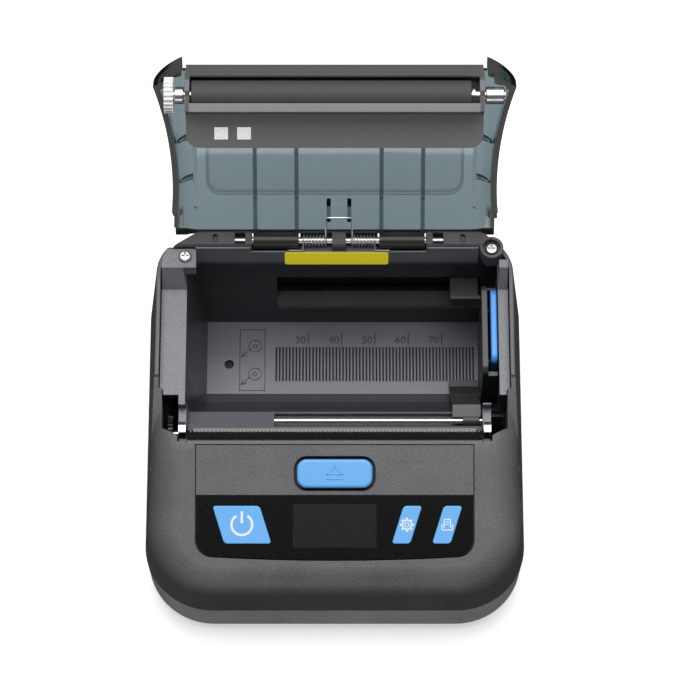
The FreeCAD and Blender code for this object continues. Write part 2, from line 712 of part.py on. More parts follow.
def make_power():
    """Battery, its cover, the main board with its chips, the charging socket and the case screws."""
    cover = Piece("battery_cover")
    cover.box("-battery_left-1+fit_gap", "battery_right+1-fit_gap", "-battery_front-1+fit_gap",
              "-battery_rear+1-fit_gap", "0", "cover_thick")
    cover.fillet(lambda middle, edge: upright(edge), "1")
    cover.cut_box("-battery_left+3", "-battery_left+4.2", "-battery_front+8", "-battery_rear-8", "-1",
                  "0.5")
    pack = Piece("battery_pack")
    pack.box("-battery_left+1.2", "battery_right-1.2", "-battery_front+1.2", "-battery_rear-1.2",
             "cover_thick", "cover_thick+battery_height")
    pack.fillet(lambda middle, edge: edge.BoundBox.YLength < 1e-3 and edge.BoundBox.ZLength < 1e-3
                and middle.z > value("cover_thick+1"), "battery_height/2-1")
    board = Piece("main_board")
    board.box("-battery_left-3.9", "main_board_right", "-battery_front+8.5", "-battery_rear-0.5",
              "main_board_height", "main_board_height+main_board_thick")
    board.fillet(lambda middle, edge: upright(edge), "1")
    chips = Piece("board_chips")
    top = "main_board_height+main_board_thick"
    for x, y, width, depth, height in (("-14", "-30", "10", "10", "1.2"), ("4", "-22", "14", "6", "2"),
                                       ("4", "-36", "8", "5", "1.6"), ("24", "-20", "9", "6", "2.2"),
                                       ("24", "-36", "6", "6", "3")):
        chips.box(x, f"{x}+{width}", y, f"{y}+{depth}", top, f"{top}+{height}")
    socket = Piece("charging_socket")
    socket.pad("YZ", "main_board_right-4.4", rounded(
        "-port_place-port_width/2", top, "-port_place+port_width/2", f"{top}+port_height",
        "port_height/2-0.05"), "8")
    socket.pocket("YZ", "main_board_right-1.9", rounded(
        "-port_place-port_width/2+0.4", f"{top}+0.4", "-port_place+port_width/2-0.4",
        f"{top}+port_height-0.4", "port_height/2-0.45"), "7")
    socket.box("main_board_right-2", "main_board_right+2.6", "-port_place-port_width/2+1.5",
               "-port_place+port_width/2-1.5", f"{top}+port_height/2-0.35", f"{top}+port_height/2+0.35")
    screws = Piece("case_screws")
    for x, y in CASE_SCREWS:
        top = "seam_height+5" if y.startswith("-") else "bay_floor-0.6"
        screws.rod("Z", (x, y, "0.3"), "case_screw_head_radius", "case_screw_head-0.3")
        screws.rod("Z", (x, y, "case_screw_head-0.2"), "case_screw_radius", f"{top}-case_screw_head")
        screws.cut_box(f"{x}-1.4", f"{x}+1.4", f"{y}-0.3", f"{y}+0.3", "-1", "0.9")
        screws.cut_box(f"{x}-0.3", f"{x}+0.3", f"{y}-1.4", f"{y}+1.4", "-1", "0.9")


def bay_rear(z):
    """Place of the leaning rear wall at a height."""
    return f"(bay_rear_floor+(({z})-bay_floor)*(bay_rear_top-bay_rear_floor)/(ledge_height-bay_floor))"


def lip_height(y):
    """Height of the bay's front lip at a place along Y."""
    return f"(bay_lip_height-({y})*bay_lip_slope)"


def make_bay_hollow():
    """The open space of the roll bay, with its leaning left end and its slot for the platen."""
    hollow = Piece("bay_hollow", keep=False)
    top = "(back_height+10)"
    slope = "((bay_lip_height-bay_floor)/bay_front_floor)"
    rear = [("-1", f"bay_lip_height+{slope}"), ("0", "bay_lip_height"), ("bay_front_floor", "bay_floor"),
            ("bay_rear_floor", "bay_floor"), (bay_rear(top), top), ("-1", top)]
    hollow.pad("YZ", "-bay_left_top-2", rear, "bay_left_top+2+bay_right")
    hollow.pad("YZ", "-bay_left_top-2", [
        ("0", "bay_lip_height"), ("0", top), ("-bay_lip_front-2", top),
        ("-bay_lip_front-2", lip_height("-bay_lip_front-2"))], "bay_left_top+2+bush_start")
    lean = "((bay_left_top-bay_left_floor)/(ledge_height-bay_floor))"
    hollow.pocket("XZ", "0", [
        (f"-bay_left_floor+4*{lean}", "bay_floor-4"), (f"-bay_left_top-({top}-ledge_height)*{lean}", top),
        ("-body_width", top), ("-body_width", "bay_floor-4")], "body_length*2", to=0)
    return hollow


def make_rim_ring(half, back):
    """The band outside the bay's flange, used to trim what rises from it."""
    ring = Piece("rim_ring", keep=False)
    ring.box("-body_width", "body_width", "rim_front+4", "body_length", "bay_floor-bay_wall-2",
             "pad_height+5")
    ring.pocket("XY", "pad_height+6", rounded(f"-{half}", f"-{OPEN_RADIUS}", half, back,
                                              OPEN_RADIUS)[3:7] + [
        (f"-{half}", "rim_front"), (half, "rim_front")], "body_length", to=-1)
    return ring


def make_roll_bay():
    """The tub that holds the paper roll: flange, well, raised back, rail slot, rack and seats."""
    bay = Piece("roll_bay")
    flange = "ledge_height-flange_thick"
    half = f"({OPEN_HALF}-fit_gap)"
    back = f"({OPEN_REAR}-fit_gap)"
    bay.pad("XY", flange, rounded(f"-{half}", f"-{OPEN_RADIUS}", half, back, OPEN_RADIUS)[3:7] + [
        (f"-{half}", "rim_front+fit_gap"), (half, "rim_front+fit_gap")], "flange_thick")
    inner = f"({SHOULDER_HALF}-fit_gap)"
    bay.box(f"-{inner}", inner, "-bay_lip_front", "rim_front+1", flange, "ledge_height")
    outer_front = "(bay_front_floor-bay_wall*0.6)"
    bay.pad("YZ", "-bush_left_end+0.2", [
        (outer_front, "bay_floor-bay_wall"), ("bay_rear_floor+bay_wall", "bay_floor-bay_wall"),
        (f"{bay_rear('ledge_height')}+bay_wall", "ledge_height"), ("-bay_lip_front", "ledge_height"),
        ("-bay_lip_front", "bay_lip_height-4"), ("0", "bay_lip_height-4")],
        "bush_left_end-0.2+bay_right+bay_wall")
    # Raised back that carries the hinge bar, and sloping shoulders up to the screw pads
    bay.pad("YZ", "0", [
        (bay_rear(flange), flange), (bay_rear("back_height"), "back_height"), (back, "back_height"),
        (back, flange)], f"2*({OPEN_HALF}-8.2)", to=0)
    slope = [("hinge_back-12.1", flange), ("hinge_back-12.1", "ledge_height"),
             ("hinge_back-8.7", "pad_height"),
             ("hinge_back-bar_front-fit_gap", "pad_height"), ("hinge_back-bar_front-fit_gap", flange)]
    bay.pad("YZ", f"-{half}+0.2", slope, f"{half}-0.2-bay_left_top")
    bay.pad("YZ", "bay_right+0.2", slope[:3] + [
        ("hinge_back-6.1", "pad_height"), ("hinge_back-6.1", flange)], f"{half}-0.4-bay_right")
    bay.cut_by(make_rim_ring(half, back))
    bay.cut_by(make_bay_hollow())
    bay.box("-bay_left_top-2", "-bay_left_top+2.8", "hinge_back-8.7", "hinge_back-bar_front-fit_gap",
            "pad_height-4.4", "pad_height")
    # Upright face in front of the hinge bar, lower where the lid's barrels turn
    bay.pad("YZ", "-bay_left_top+2.6", [
        ("fence_front", "back_height-5.4"), (f"{bay_rear('back_height-5.4')}+0.5", "back_height-5.4"),
        (f"{bay_rear('back_height')}+0.5", "back_height"), ("fence_front+fence_thick", "back_height"),
        ("fence_front+fence_thick", "fence_low"), ("fence_front", "fence_low")],
        "bay_left_top+bay_right-8.3")
    for x_low, x_high in (("-bay_left_top+2.6", "hinge_side-barrel_outer-0.8"),
                          ("hinge_side+barrel_outer+0.8", "bay_right-5.7")):
        bay.box(x_low, x_high, "fence_front", "fence_front+fence_thick", "back_height", "fence_high")
    # Rail under the slot of the guide, the slot itself, and the trough of the guide rod
    bay.pad("YZ", "-slot_left", [
        (f"{bay_rear('slot_low-8')}+0.5", "slot_low-8"), (f"{bay_rear('slot_low-2')}-1.8", "slot_low-1.6"),
        (f"{bay_rear('slot_low')}+0.5", "slot_low")], "slot_left+slot_right")
    bay.cut_box("-slot_left", "slot_right", "bay_rear_floor-0.5", "bay_rear_top+4", "slot_low", "slot_high")
    bay.cut_box("-slot_left-0.3", "bush_start", f"{ROD_Y}-2.5", f"{ROD_Y}+2.5", "rod_height-2.2",
                "ledge_height+1")
    bay.bore("X", ("bush_start-1", ROD_Y, "rod_height"), "rod_radius+running_gap", "2.9")
    # Pockets beside the bay for the platen's gear and right bush, and the open bearing seats
    for x_low, x_high in (("-body_width/2", "-bush_left_end+0.2"), ("bush_left_end-0.2", "body_width/2")):
        bay.cut_box(x_low, x_high, "-bay_lip_front-1", "rim_front-1.4", "bay_lip_height-5",
                    "ledge_height+1")
    for x_low, x_high in (("-bush_left_end", "-bush_start+4"), ("bush_start-1", "bush_right_end+2")):
        bay.cut_box(x_low, x_high, "-bay_lip_front-1", f"{PLATEN_Y}+bush_radius+fit_gap",
                    f"{PLATEN_Z}-bush_radius-fit_gap", "ledge_height+1")
    # Ears that carry the pin of the print head, and holes for the axle and the screws
    for side in ("-bush_start-1.6", "bush_start"):
        bay.box(side, f"{side}+1.6", f"{HEAD_PIN_Y}-2", "-bay_lip_front+0.5", "head_pin_height-2",
                "head_pin_height+1.6")
    bay.bore("X", ("-bush_start-3", HEAD_PIN_Y, "head_pin_height"), "head_pin_radius", "bush_start*2+6")
    bay.bore("X", ("-bush_left_end-1", DRIVE_Y, DRIVE_Z), "axle_radius", "5")
    bay.bore("Z", ("-bay_left_top-0.4", "hinge_back-5.3", "pad_height-screw_length"), "screw_radius",
             "screw_length+1")
    for x, y in CASE_SCREWS[2:]:
        bay.bore("Z", (x, y, "bay_floor-bay_wall-1"), "case_screw_radius", "bay_wall+0.3")
    bay.bore("Z", ("-bay_left_floor+6.6", "(bay_front_floor+bay_rear_floor)/2-2.15", "bay_floor-1"),
             "1.4", "2")
    make_rack(bay)


def make_rack(bay):
    """Grooves across the bay's floor that the paper guide is set by."""
    bay.cut_box("-rack_left", "-rack_left+rack_groove", "rack_front", "rack_front+rack_depth",
                "bay_floor-rack_cut", "bay_floor+1")
    groove = bay.body.Tip
    doc.recompute()
    row = bay.new("LinearPattern")
    row.Originals = [groove]
    axis = [item for item in bay.body.Origin.OriginFeatures if item.Role == "X_Axis"][0]
    row.Direction = (axis, [""])
    row.Occurrences = int(value("(rack_left+rack_right)/rack_pitch"))
    bind(row, "Length", "(floor((rack_left+rack_right)/rack_pitch)-1)*rack_pitch")
    bay.body.Tip = row


def make_hinge():
    """The bar across the rear, its pins and screws, the lid's spring and the blank label."""
    bar = Piece("hinge_bar")
    front = "hinge_back-bar_front"
    rear = "hinge_back+bar_rear"
    end = f"({OPEN_HALF}-3.8)"
    bar.pad("XY", "back_height", [
        (f"-{end}", front), (f"{end}+1.4", front), (f"{end}-4.6", rear), (f"-{end}+7.6", rear)],
        "hinge_height+bar_top-back_height")
    bar.chamfer(lambda middle, edge: along_x(edge) and middle.z > value("hinge_height"), "bar_chamfer")
    ear = ("bay_right-1.9", "hinge_back-2.7")
    bar.rod("Z", (*ear, "back_height-2.4"), "2.6", "4")
    bar.rod("Z", (*ear, "rim_height+0.3"), "3.4", "hinge_height+bar_top-rim_height-0.7")
    bar.bore("Z", (*ear, "back_height+3.6"), "2.5", "9")
    # Gaps for the barrels, and pockets for the spring's coils and the bare stretches of the pins
    for start, stop, near, far, low in (
            ("barrel_inner-0.4", "barrel_outer+0.4", f"{front}-1", f"{rear}+1",
             "hinge_height-barrel_radius-move_gap"),
            ("2", "barrel_inner-0.3", f"{front}-1", f"{rear}-0.5",
             "hinge_height-spring_radius-spring_wire/2-0.05"),
            ("barrel_outer+2.4", "hinge_pin_reach-1.2", f"{front}+0.6", f"{rear}-0.6",
             "hinge_height-hinge_pin_radius-1.4")):
        bar.cut_box(f"hinge_side+{start}", f"hinge_side+{stop}", near, far, low, "hinge_height+9")
        bar.cut_box(f"hinge_side-({stop})", f"hinge_side-({start})", near, far, low, "hinge_height+9")
    for side in ("hinge_side-hinge_pin_reach-4.5", "hinge_side+hinge_pin_reach+4.5"):
        bar.pocket("XY", "hinge_height+bar_top+1", rounded(
            f"{side}-0.7", "hinge_back-1.4", f"{side}+0.7", "hinge_back+1.4", "0.65"), "2.2", to=-1)
    bar.bore("X", ("hinge_side-hinge_pin_reach", "hinge_back", "hinge_height"), "hinge_pin_radius",
             "hinge_pin_reach*2")
    bar.bore("Z", (*ear, "back_height-4"), "screw_radius", "9")
    pins = Piece("hinge_pins")
    pins.rod("X", ("hinge_side-hinge_pin_reach", "hinge_back", "hinge_height"), "hinge_pin_radius",
             "hinge_pin_reach-0.4")
    pins.rod("X", ("hinge_side+0.4", "hinge_back", "hinge_height"), "hinge_pin_radius",
             "hinge_pin_reach-0.4")
    screws = Piece("frame_screws")
    for x, y, z in (("-bay_left_top-0.4", "hinge_back-5.3", "pad_height"),
                    (*ear, "back_height+3.6")):
        screws.rod("Z", (x, y, f"{z}-screw_length+0.2"), "screw_radius", "screw_length")
        screws.rod("Z", (x, y, z), "screw_head_radius", "screw_head")
    screws.fillet(lambda middle, edge: abs(middle.z - value("pad_height+screw_head")) < 1e-3
                  or abs(middle.z - value("back_height+3.6+screw_head")) < 1e-3, "screw_head*0.6")
    for x, y, z in (("-bay_left_top-0.4", "hinge_back-5.3", "pad_height"),
                    (*ear, "back_height+3.6")):
        screws.cut_box(f"{x}-1.1", f"{x}+1.1", f"{y}-0.25", f"{y}+0.25", f"{z}+0.3", f"{z}+2")
        screws.cut_box(f"{x}-0.25", f"{x}+0.25", f"{y}-1.1", f"{y}+1.1", f"{z}+0.3", f"{z}+2")
    label = Piece("rear_label")
    label.pad("XZ", "fence_front", rounded(
        "-14.6", "back_height-5.1", "15.6", "fence_low-0.2", "0.8"), "0.15", to=-1)


def biarc(start, start_way, stop, stop_way):
    """Two tangent arcs that join two points with given directions."""
    across = stop - start
    ways = start_way + stop_way
    bend = 2 * (1 - start_way.dot(stop_way))
    along = across.dot(ways)
    if bend < 1e-9:
        return [Part.LineSegment(start, stop).toShape()]
    reach = (-along + math.sqrt(along ** 2 + bend * across.dot(across))) / bend
    middle = (start + start_way * reach + stop - stop_way * reach) * 0.5
    return [arc_from(start, start_way, middle), arc_from(stop, -stop_way, middle, flip=True)]


def arc_from(start, way, stop, flip=False):
    """The arc that leaves a point in a direction and ends at another point, or the same arc reversed."""
    chord = stop - start
    length = chord.Length
    unit = chord * (1 / length)
    side = way - unit * way.dot(unit)
    ends = (stop, start) if flip else (start, stop)
    if side.Length < 1e-7:
        return Part.LineSegment(*ends).toShape()
    side.normalize()
    half_turn = math.acos(max(-1, min(1, way.dot(unit)))) / 2
    crown = (start + stop) * 0.5 + side * (length / 2 * math.tan(half_turn))
    return Part.Arc(ends[0], crown, ends[1]).toShape()


def make_lid_spring():
    """One wire wound as two coils round the hinge pins, joined by a loop that lifts the lid."""
    wire = value("spring_wire")
    radius = value("spring_radius")
    pitch = value("spring_pitch")
    quarters = int(value("spring_turns")) * 4
    opening = math.radians(value("lid_open"))
    up = FreeCAD.Vector(0, -math.cos(opening), math.sin(opening))
    back = FreeCAD.Vector(0, math.sin(opening), math.cos(opening))
    inner = value("spring_inner")

    def coil_point(quarter):
        angle = quarter * math.pi / 2
        spot = (back * -math.cos(angle) + up * math.sin(angle)) * radius
        way = (back * math.sin(angle) + up * math.cos(angle)) * (radius * math.pi / 2)
        spot.x = -inner - (quarters - quarter) * pitch / 4
        way.x = pitch / 4
        return spot, way.normalize()

    points = []
    first, first_way = coil_point(0)
    leg = value("spring_leg")
    turn_in = FreeCAD.Vector(-1, 0, 0)
    points.append((first - first_way * leg + turn_in * 3.2 * wire * 2, -turn_in))
    points.append((first - first_way * leg + turn_in * wire * 2.4, -turn_in))
    points.append((first - first_way * (leg - wire * 2.4), first_way))
    points += [coil_point(quarter) for quarter in range(quarters + 1)]
    last, last_way = points[-1]
    top = value("spring_loop")
    corner = wire * 2.4
    points.append((last + up * (top - corner) + FreeCAD.Vector(0.15, 0, 0), up))
    points.append((last + up * top + FreeCAD.Vector(corner + 0.15, 0, 0), FreeCAD.Vector(1, 0, 0)))
    mirror = [(FreeCAD.Vector(-spot.x, spot.y, spot.z), FreeCAD.Vector(way.x, -way.y, -way.z))
              for spot, way in reversed(points)]
    points += mirror
    edges = []
    for (start, way), (stop, stop_way) in zip(points, points[1:]):
        edges += biarc(start, way, stop, stop_way)
    path = Part.Wire(Part.sortEdges(edges)[0])
    ring = Part.Wire(Part.Circle(points[0][0], points[0][1], wire / 2).toShape())
    tube = path.makePipeShell([ring], True, False)
    print_least_gap(edges, wire)
    place = FreeCAD.Placement(
        FreeCAD.Vector(value("hinge_side"), value("hinge_back"), value("hinge_height")), FreeCAD.Rotation())
    set_shape("lid_spring", Part.Solid(tube) if tube.ShapeType == "Shell" else tube, place)


def print_least_gap(edges, wire):
    """Print the least gap between stretches of a wound wire, measured on points along it."""
    spots = []
    run = 0
    for edge in edges:
        steps = 6
        ends = [edge.valueAt(edge.FirstParameter + (edge.LastParameter - edge.FirstParameter) * step / steps)
                for step in range(steps)]
        spots += [(run + edge.Length * step / steps, spot) for step, spot in enumerate(ends)]
        run += edge.Length
    least = min(one.distanceToPoint(two) for at_one, one in spots for at_two, two in spots
                if at_two - at_one > 6 * wire)
    print(f"lid_spring least gap to itself {least - wire:.2f} mm over {run:.0f} mm of wire")


def make_panel():
    """Control panel: plate, glossy overlay, display, keys, their board and domes, and the button."""
    plate = Piece("control_plate", "deck")
    plate.pad("XY", "-panel_thick", panel_outline("fit_gap"), "panel_thick")
    plate.cut_box("-panel_width", "panel_width", "-panel_bottom*2", "-overlay_top", "-overlay_thick", "1")
    plate.pocket("XY", "1", rounded(
        "-button_width/2-button_groove", "-button_place-button_depth/2-button_groove",
        "button_width/2+button_groove", "-button_place+button_depth/2+button_groove",
        "button_corner+button_groove"), "panel_thick+2", to=-1)
    plate.cut_box("-display_width/2-2.2", "display_width/2+2.2", "-display_place-display_depth/2-1.2",
                  "-display_place+display_depth/2+1.2", "-panel_thick-1", "1")
    overlay = Piece("control_overlay", "deck")
    overlay.pad("XY", "-overlay_thick", panel_outline("fit_gap+0.1"), "overlay_thick")
    overlay.cut_box("-panel_width", "panel_width", "-overlay_top-0.05", "1", "-overlay_thick-1", "1")
    overlay.cut_box("-display_width/2", "display_width/2", "-display_place-display_depth/2",
                    "-display_place+display_depth/2", "-overlay_thick-1", "1")
    window = Piece("display_window", "deck")
    window.box("-display_width/2+0.05", "display_width/2-0.05", "-display_place-display_depth/2+0.05",
               "-display_place+display_depth/2-0.05", "-overlay_thick", "-0.02")
    module = Piece("display_module", "deck")
    module.box("-display_width/2-2", "display_width/2+2", "-display_place-display_depth/2-1",
               "-display_place+display_depth/2+1", "-board_drop", "-overlay_thick-0.02")
    board = Piece("key_board", "deck")
    reach = "(panel_width/2-panel_seat-1)"
    board.box(f"-{reach}", reach, "-panel_bottom+panel_seat+0.8", "-overlay_top+0.2",
              "-board_drop-board_thick", "-board_drop")
    board.fillet(lambda middle, edge: upright(edge), "2")
    domes = Piece("dome_switches", "deck")
    screws = Piece("panel_screws", "deck")
    for label, place, width, lean in (("power_key", "-power_place", "power_width", "key_lean"),
                                      ("settings_key", "settings_place", "small_key_width", "-key_lean"),
                                      ("feed_key", "feed_place", "small_key_width", "-key_lean")):
        key = Piece(label, "deck")
        for owner, gap, low, high in ((plate, "0.2", "-panel_thick-1", "1"),
                                      (overlay, "0.2", "-panel_thick-1", "1")):
            owner.pocket("XY", high, leaning(place, width, lean, gap), f"({high})-({low})", to=-1)
        key.pad("XY", "-panel_thick-0.2", leaning(place, width, lean, "0"), "panel_thick+0.2+key_rise")
        key.fillet(lambda middle, edge: middle.z > 0 and not upright(edge), "key_rise*0.7")
        key.rod("Z", (place, "-key_place", "-board_drop+0.3+key_travel+0.05"), "1.2",
                "board_drop-panel_thick-key_travel-0.4")
        domes.rod("Z", (place, "-key_place", "-board_drop"), "2", "0.3")
    for side in (f"-{reach}+1.6", f"{reach}-1.6"):
        for along in ("-overlay_top-1.6", "-panel_bottom+panel_seat+2.6"):
            plate.rod("Z", (side, along, "-board_drop"), "1.2", "board_drop-panel_thick+0.4")
            plate.bore("Z", (side, along, "-board_drop-1"), "0.7", "2.6")
            board.bore("Z", (side, along, "-board_drop-board_thick-1"), "0.7", "board_thick+2")
            screws.rod("Z", (side, along, "-board_drop-board_thick-0.8"), "1.4", "0.8")
            screws.rod("Z", (side, along, "-board_drop-board_thick-0.1"), "0.7", "board_thick+1.2")
    make_open_button()


def leaning(place, width, lean, gap):
    """Outline of a leaning key cap round its middle, grown by a gap."""
    half = f"(({width})/2+({gap}))"
    tall = f"(key_depth/2+({gap}))"
    shift = f"(({lean})/2)"
    slant = f"(-key_corner*({lean})/key_depth)"
    outline = []
    # Each corner: its place, the step back along the edge before it and the step on along the edge after it
    for x, y, before, after in (
            (f"{shift}-{half}", f"-{tall}", (slant, "key_corner"), ("key_corner", "0")),
            (f"{shift}+{half}", f"-{tall}", ("-key_corner", "0"), (slant, "key_corner")),
            (f"-{shift}+{half}", tall, (f"-{slant}", "-key_corner"), ("-key_corner", "0")),
            (f"-{shift}-{half}", tall, ("key_corner", "0"), (f"-{slant}", "-key_corner"))):
        x = f"{place}+{x}"
        y = f"-key_place+{y}"
        outline.append((f"{x}+({before[0]})", f"{y}+({before[1]})",
                        f"{x}+{CORNER}*(({before[0]})+({after[0]}))",
                        f"{y}+{CORNER}*(({before[1]})+({after[1]}))"))
        outline.append((f"{x}+({after[0]})", f"{y}+({after[1]})"))
    return outline


def make_open_button():
    """The lid release button with the flange that keeps it in and the stem that works the latch."""
    button = Piece("open_button", "deck")
    low = "-panel_thick-move_gap"
    button.pad("XY", f"{low}-0.5", rounded(
        "-button_width/2", "-button_place-button_depth/2", "button_width/2", "-button_place+button_depth/2",
        "button_corner"), "panel_thick+move_gap+0.5+button_rise")
    button.fillet(lambda middle, edge: middle.z > 0.2 and not upright(edge), "button_rise*0.85")
    flange = "(button_groove+0.5)"
    button.pad("XY", f"{low}-1", rounded(
        f"-button_width/2-{flange}", f"-button_place-button_depth/2-{flange}", f"button_width/2+{flange}",
        f"-button_place+button_depth/2+{flange}", f"button_corner+{flange}"), "1")
    button.box("-3", "3", "-button_place-2.4", "-button_place-0.4", "-7.2", f"{low}-0.8")


def make_tear_blade():
    """The serrated strip along the paper exit."""
    half = value("blade_half")
    pitch = value("tooth_pitch")
    tips = -value("blade_reach")
    roots = tips - value("tooth_depth")
    front = tips - value("blade_width")
    count = int(2 * half / pitch)
    start = -count * pitch / 2
    corners = [FreeCAD.Vector(-half, front, 0), FreeCAD.Vector(half, front, 0),
               FreeCAD.Vector(half, roots, 0)]
    for tooth in range(count, 0, -1):
        corners.append(FreeCAD.Vector(start + tooth * pitch, roots, 0))
        corners.append(FreeCAD.Vector(start + (tooth - 0.5) * pitch, tips, 0))
    corners += [FreeCAD.Vector(start, roots, 0), FreeCAD.Vector(-half, roots, 0), corners[0]]
    strip = Part.Face(Part.makePolygon(corners)).extrude(FreeCAD.Vector(0, 0, value("blade_thick")))
    set_shape("tear_blade", strip, FreeCAD.Placement(FreeCAD.Vector(0, 0, value(BLADE_LOW)),
                                                     FreeCAD.Rotation()))


def make_print_head():
    """Heated strip on its plate, the pin that it swings on and the leaf spring behind it."""
    top = f"({BLADE_LOW}-0.3)"
    strip = Piece("thermal_head")
    strip.box("-head_half", "head_half", f"{HEAD_FACE}-head_thick", HEAD_FACE, f"{top}-head_height", top)
    plate = Piece("head_plate")
    plate.box("-head_half-0.8", "head_half+0.8", HEAD_BACK, f"{HEAD_BACK}+head_plate", "head_pin_height",
              "deck_height-deck_wall-0.5")
    plate.rod("X", ("-head_half-0.8", HEAD_PIN_Y, "head_pin_height"), "head_pin_radius+1",
              "head_half*2+1.6")
    plate.bore("X", ("-head_half-2", HEAD_PIN_Y, "head_pin_height"), "head_pin_radius+running_gap",
               "head_half*2+4")
    pin = Piece("head_pin")
    pin.rod("X", ("-bush_start-1.5", HEAD_PIN_Y, "head_pin_height"), "head_pin_radius", "bush_start*2+3")
    leaf = Piece("head_spring")
    rib = f"({HEAD_BACK}-1.3)"
    leaf.pad("YZ", "-12", [
        (rib, f"{top}-1.6"), (rib, "latch_height+3"), (f"{HEAD_BACK}-0.65", "latch_height+1.1"),
        (f"{HEAD_BACK}-0.35", "latch_height+1.2"), (f"{rib}+0.3", "latch_height+3.1"),
        (f"{rib}+0.3", f"{top}-1.6")], "24")


def make_latch():
    """Shaft under the deck with a hook at each end and the arm that the button's stem pushes."""
    shaft = Piece("latch_shaft")
    reach = "(hook_inner+hook_thick)"
    shaft.rod("X", (f"-{reach}-0.4", LATCH_Y, "latch_height"), "latch_radius", f"{reach}*2+0.8")
    shaft.rod("X", ("-4", LATCH_Y, "latch_height"), "latch_radius+1.1", "8")
    shaft.box("-4", "4", f"{LATCH_Y}-7.5", LATCH_Y, "latch_height-latch_radius-1.1",
              "latch_height-latch_radius-0.1")
    nose = f"({PLATEN_Y}-bush_radius-0.9)"
    for label, side in (("latch_hook_left", f"-{reach}"), ("latch_hook_right", "hook_inner")):
        hook = Piece(label)
        hook.pad("YZ", side, [
            (f"{LATCH_Y}-2.4", "latch_height-0.6"), (f"{LATCH_Y}+0.6", "latch_height-2.4"),
            (f"{nose}-2", "latch_height+4.1"), (f"{nose}-1.6", "hook_top-2.1"), (nose, "hook_top-1.7"),
            (nose, "hook_top-0.6"), (f"{nose}-1.4", "hook_top"), (f"{nose}-3.4", "hook_top-0.5"),
            (f"{nose}-3.4", "latch_height+5.2"), (f"{LATCH_Y}-1.4", "latch_height+1.9")], "hook_thick")
        hook.bore("X", (f"{side}-1", LATCH_Y, "latch_height"), "latch_radius", "hook_thick+2")
        hook.fillet(lambda middle, edge: along_x(edge) and middle.z > value("hook_top-3"), "0.35")


def make_guide():
    """Sliding paper guide on its rod, and the paddle that frees it."""
    rod = Piece("guide_rod")
    rod.rod("X", ("-slot_left-0.3", ROD_Y, "rod_height"), "rod_radius", "slot_left+0.3+bush_start+1.7")
    guide = Piece("paper_guide")
    inner = "(guide_face+guide_thick)"
    lean = "((bay_lip_height-bay_floor)/bay_front_floor)"
    guide.pad("YZ", "guide_face", [
        ("guide_front", f"bay_floor+(bay_front_floor+1-guide_front)*{lean}"),
        ("bay_front_floor+0.5", "bay_floor+1"),
        ("guide_rear", "bay_floor+1"), ("guide_rear", "guide_top"), ("guide_front", "guide_top")],
        "guide_thick")
    guide.fillet(lambda middle, edge: edge.BoundBox.YLength < 1e-3 and middle.z > value("guide_top-1") and
                 edge.BoundBox.XLength > 0.5, "2.5")
    for y_low, y_high in (("guide_front", "guide_front+1.4"), ("guide_rear-0.8", "guide_rear")):
        guide.box(inner, "paddle_left+paddle_thick", y_low, y_high, "paddle_low+4", "guide_top-3")
    low = "(bay_floor+0.5)"
    step = "0.75"
    guide.pad("YZ", "guide_left", [
        ("bay_front_floor+4", low), (f"bay_front_floor+{step}", low), (step, "bay_lip_height+0.5"),
        (f"{ROD_Y}+0.6", "rod_height+0.4"), (f"{ROD_Y}+0.6", "rod_height+1.5"), ("1.4", "rod_height+1.6"),
        (f"bay_front_floor+{step}+1", f"{low}+0.9"), ("bay_front_floor+4", f"{low}+0.9")],
        "bush_start-guide_left-0.4")
    guide.pad("YZ", "guide_left+1", [
        ("bay_front_floor+4", low), (f"bay_front_floor+{step}", low),
        (f"guide_front+{step}", f"bay_floor+0.5+(bay_front_floor-guide_front)*{lean}"),
        (f"guide_front+{step}+1.2", f"bay_floor+1.4+(bay_front_floor-guide_front)*{lean}"),
        (f"bay_front_floor+{step}+1", f"{low}+0.9"), ("bay_front_floor+4", f"{low}+0.9")],
        "guide_face-guide_left-0.8")
    guide.rod("X", ("guide_left+3", ROD_Y, "rod_height"), "rod_radius+0.85", "bush_start-guide_left-3.8")
    guide.bore("X", ("guide_left-1", ROD_Y, "rod_height"), "rod_radius+running_gap",
               "guide_face-guide_left+2")
    block = "(bay_rear_floor-4.4)"
    guide.box("guide_left", "guide_face+0.2", block, f"{block}+1.2", "slot_high-4.4", "slot_high+0.4")
    guide.box("guide_left", "guide_face-0.6", block, "bay_rear_floor+1.4", "slot_high-4.4",
              "slot_high-move_gap*2")
    guide.box("guide_left", "guide_face-0.6", "bay_rear_floor+1", "bay_rear_top-0.4", "slot_low+move_gap*2",
              "slot_high-move_gap*2")
    guide.box("guide_face", inner, "guide_rear-1", f"{block}+1.2", "slot_low-2", "slot_high+0.4")
    paddle = Piece("guide_paddle")
    paddle.box("paddle_left", "paddle_left+paddle_thick", "paddle_front", "paddle_rear", "paddle_low",
               "guide_top-0.3")
    paddle.fillet(lambda middle, edge: edge.BoundBox.YLength < 1e-3 and edge.BoundBox.ZLength < 1e-3, "2.2")
    paddle.fillet(lambda middle, edge: middle.x > value("paddle_left+paddle_thick") - 1e-3
                  or (middle.x < value("paddle_left") + 1e-3), "0.5")
    for along in ("paddle_front+3.5", "paddle_rear-3.5"):
        height = "(paddle_low+guide_top)/2+3"
        guide.bore("X", ("guide_face-0.5", along, height), "1+running_gap", "guide_thick+1")
        paddle.rod("X", (f"{inner}-guide_thick+paddle_travel+0.1", along, height), "1",
                   f"paddle_left+0.5-{inner}+guide_thick-paddle_travel-0.1")


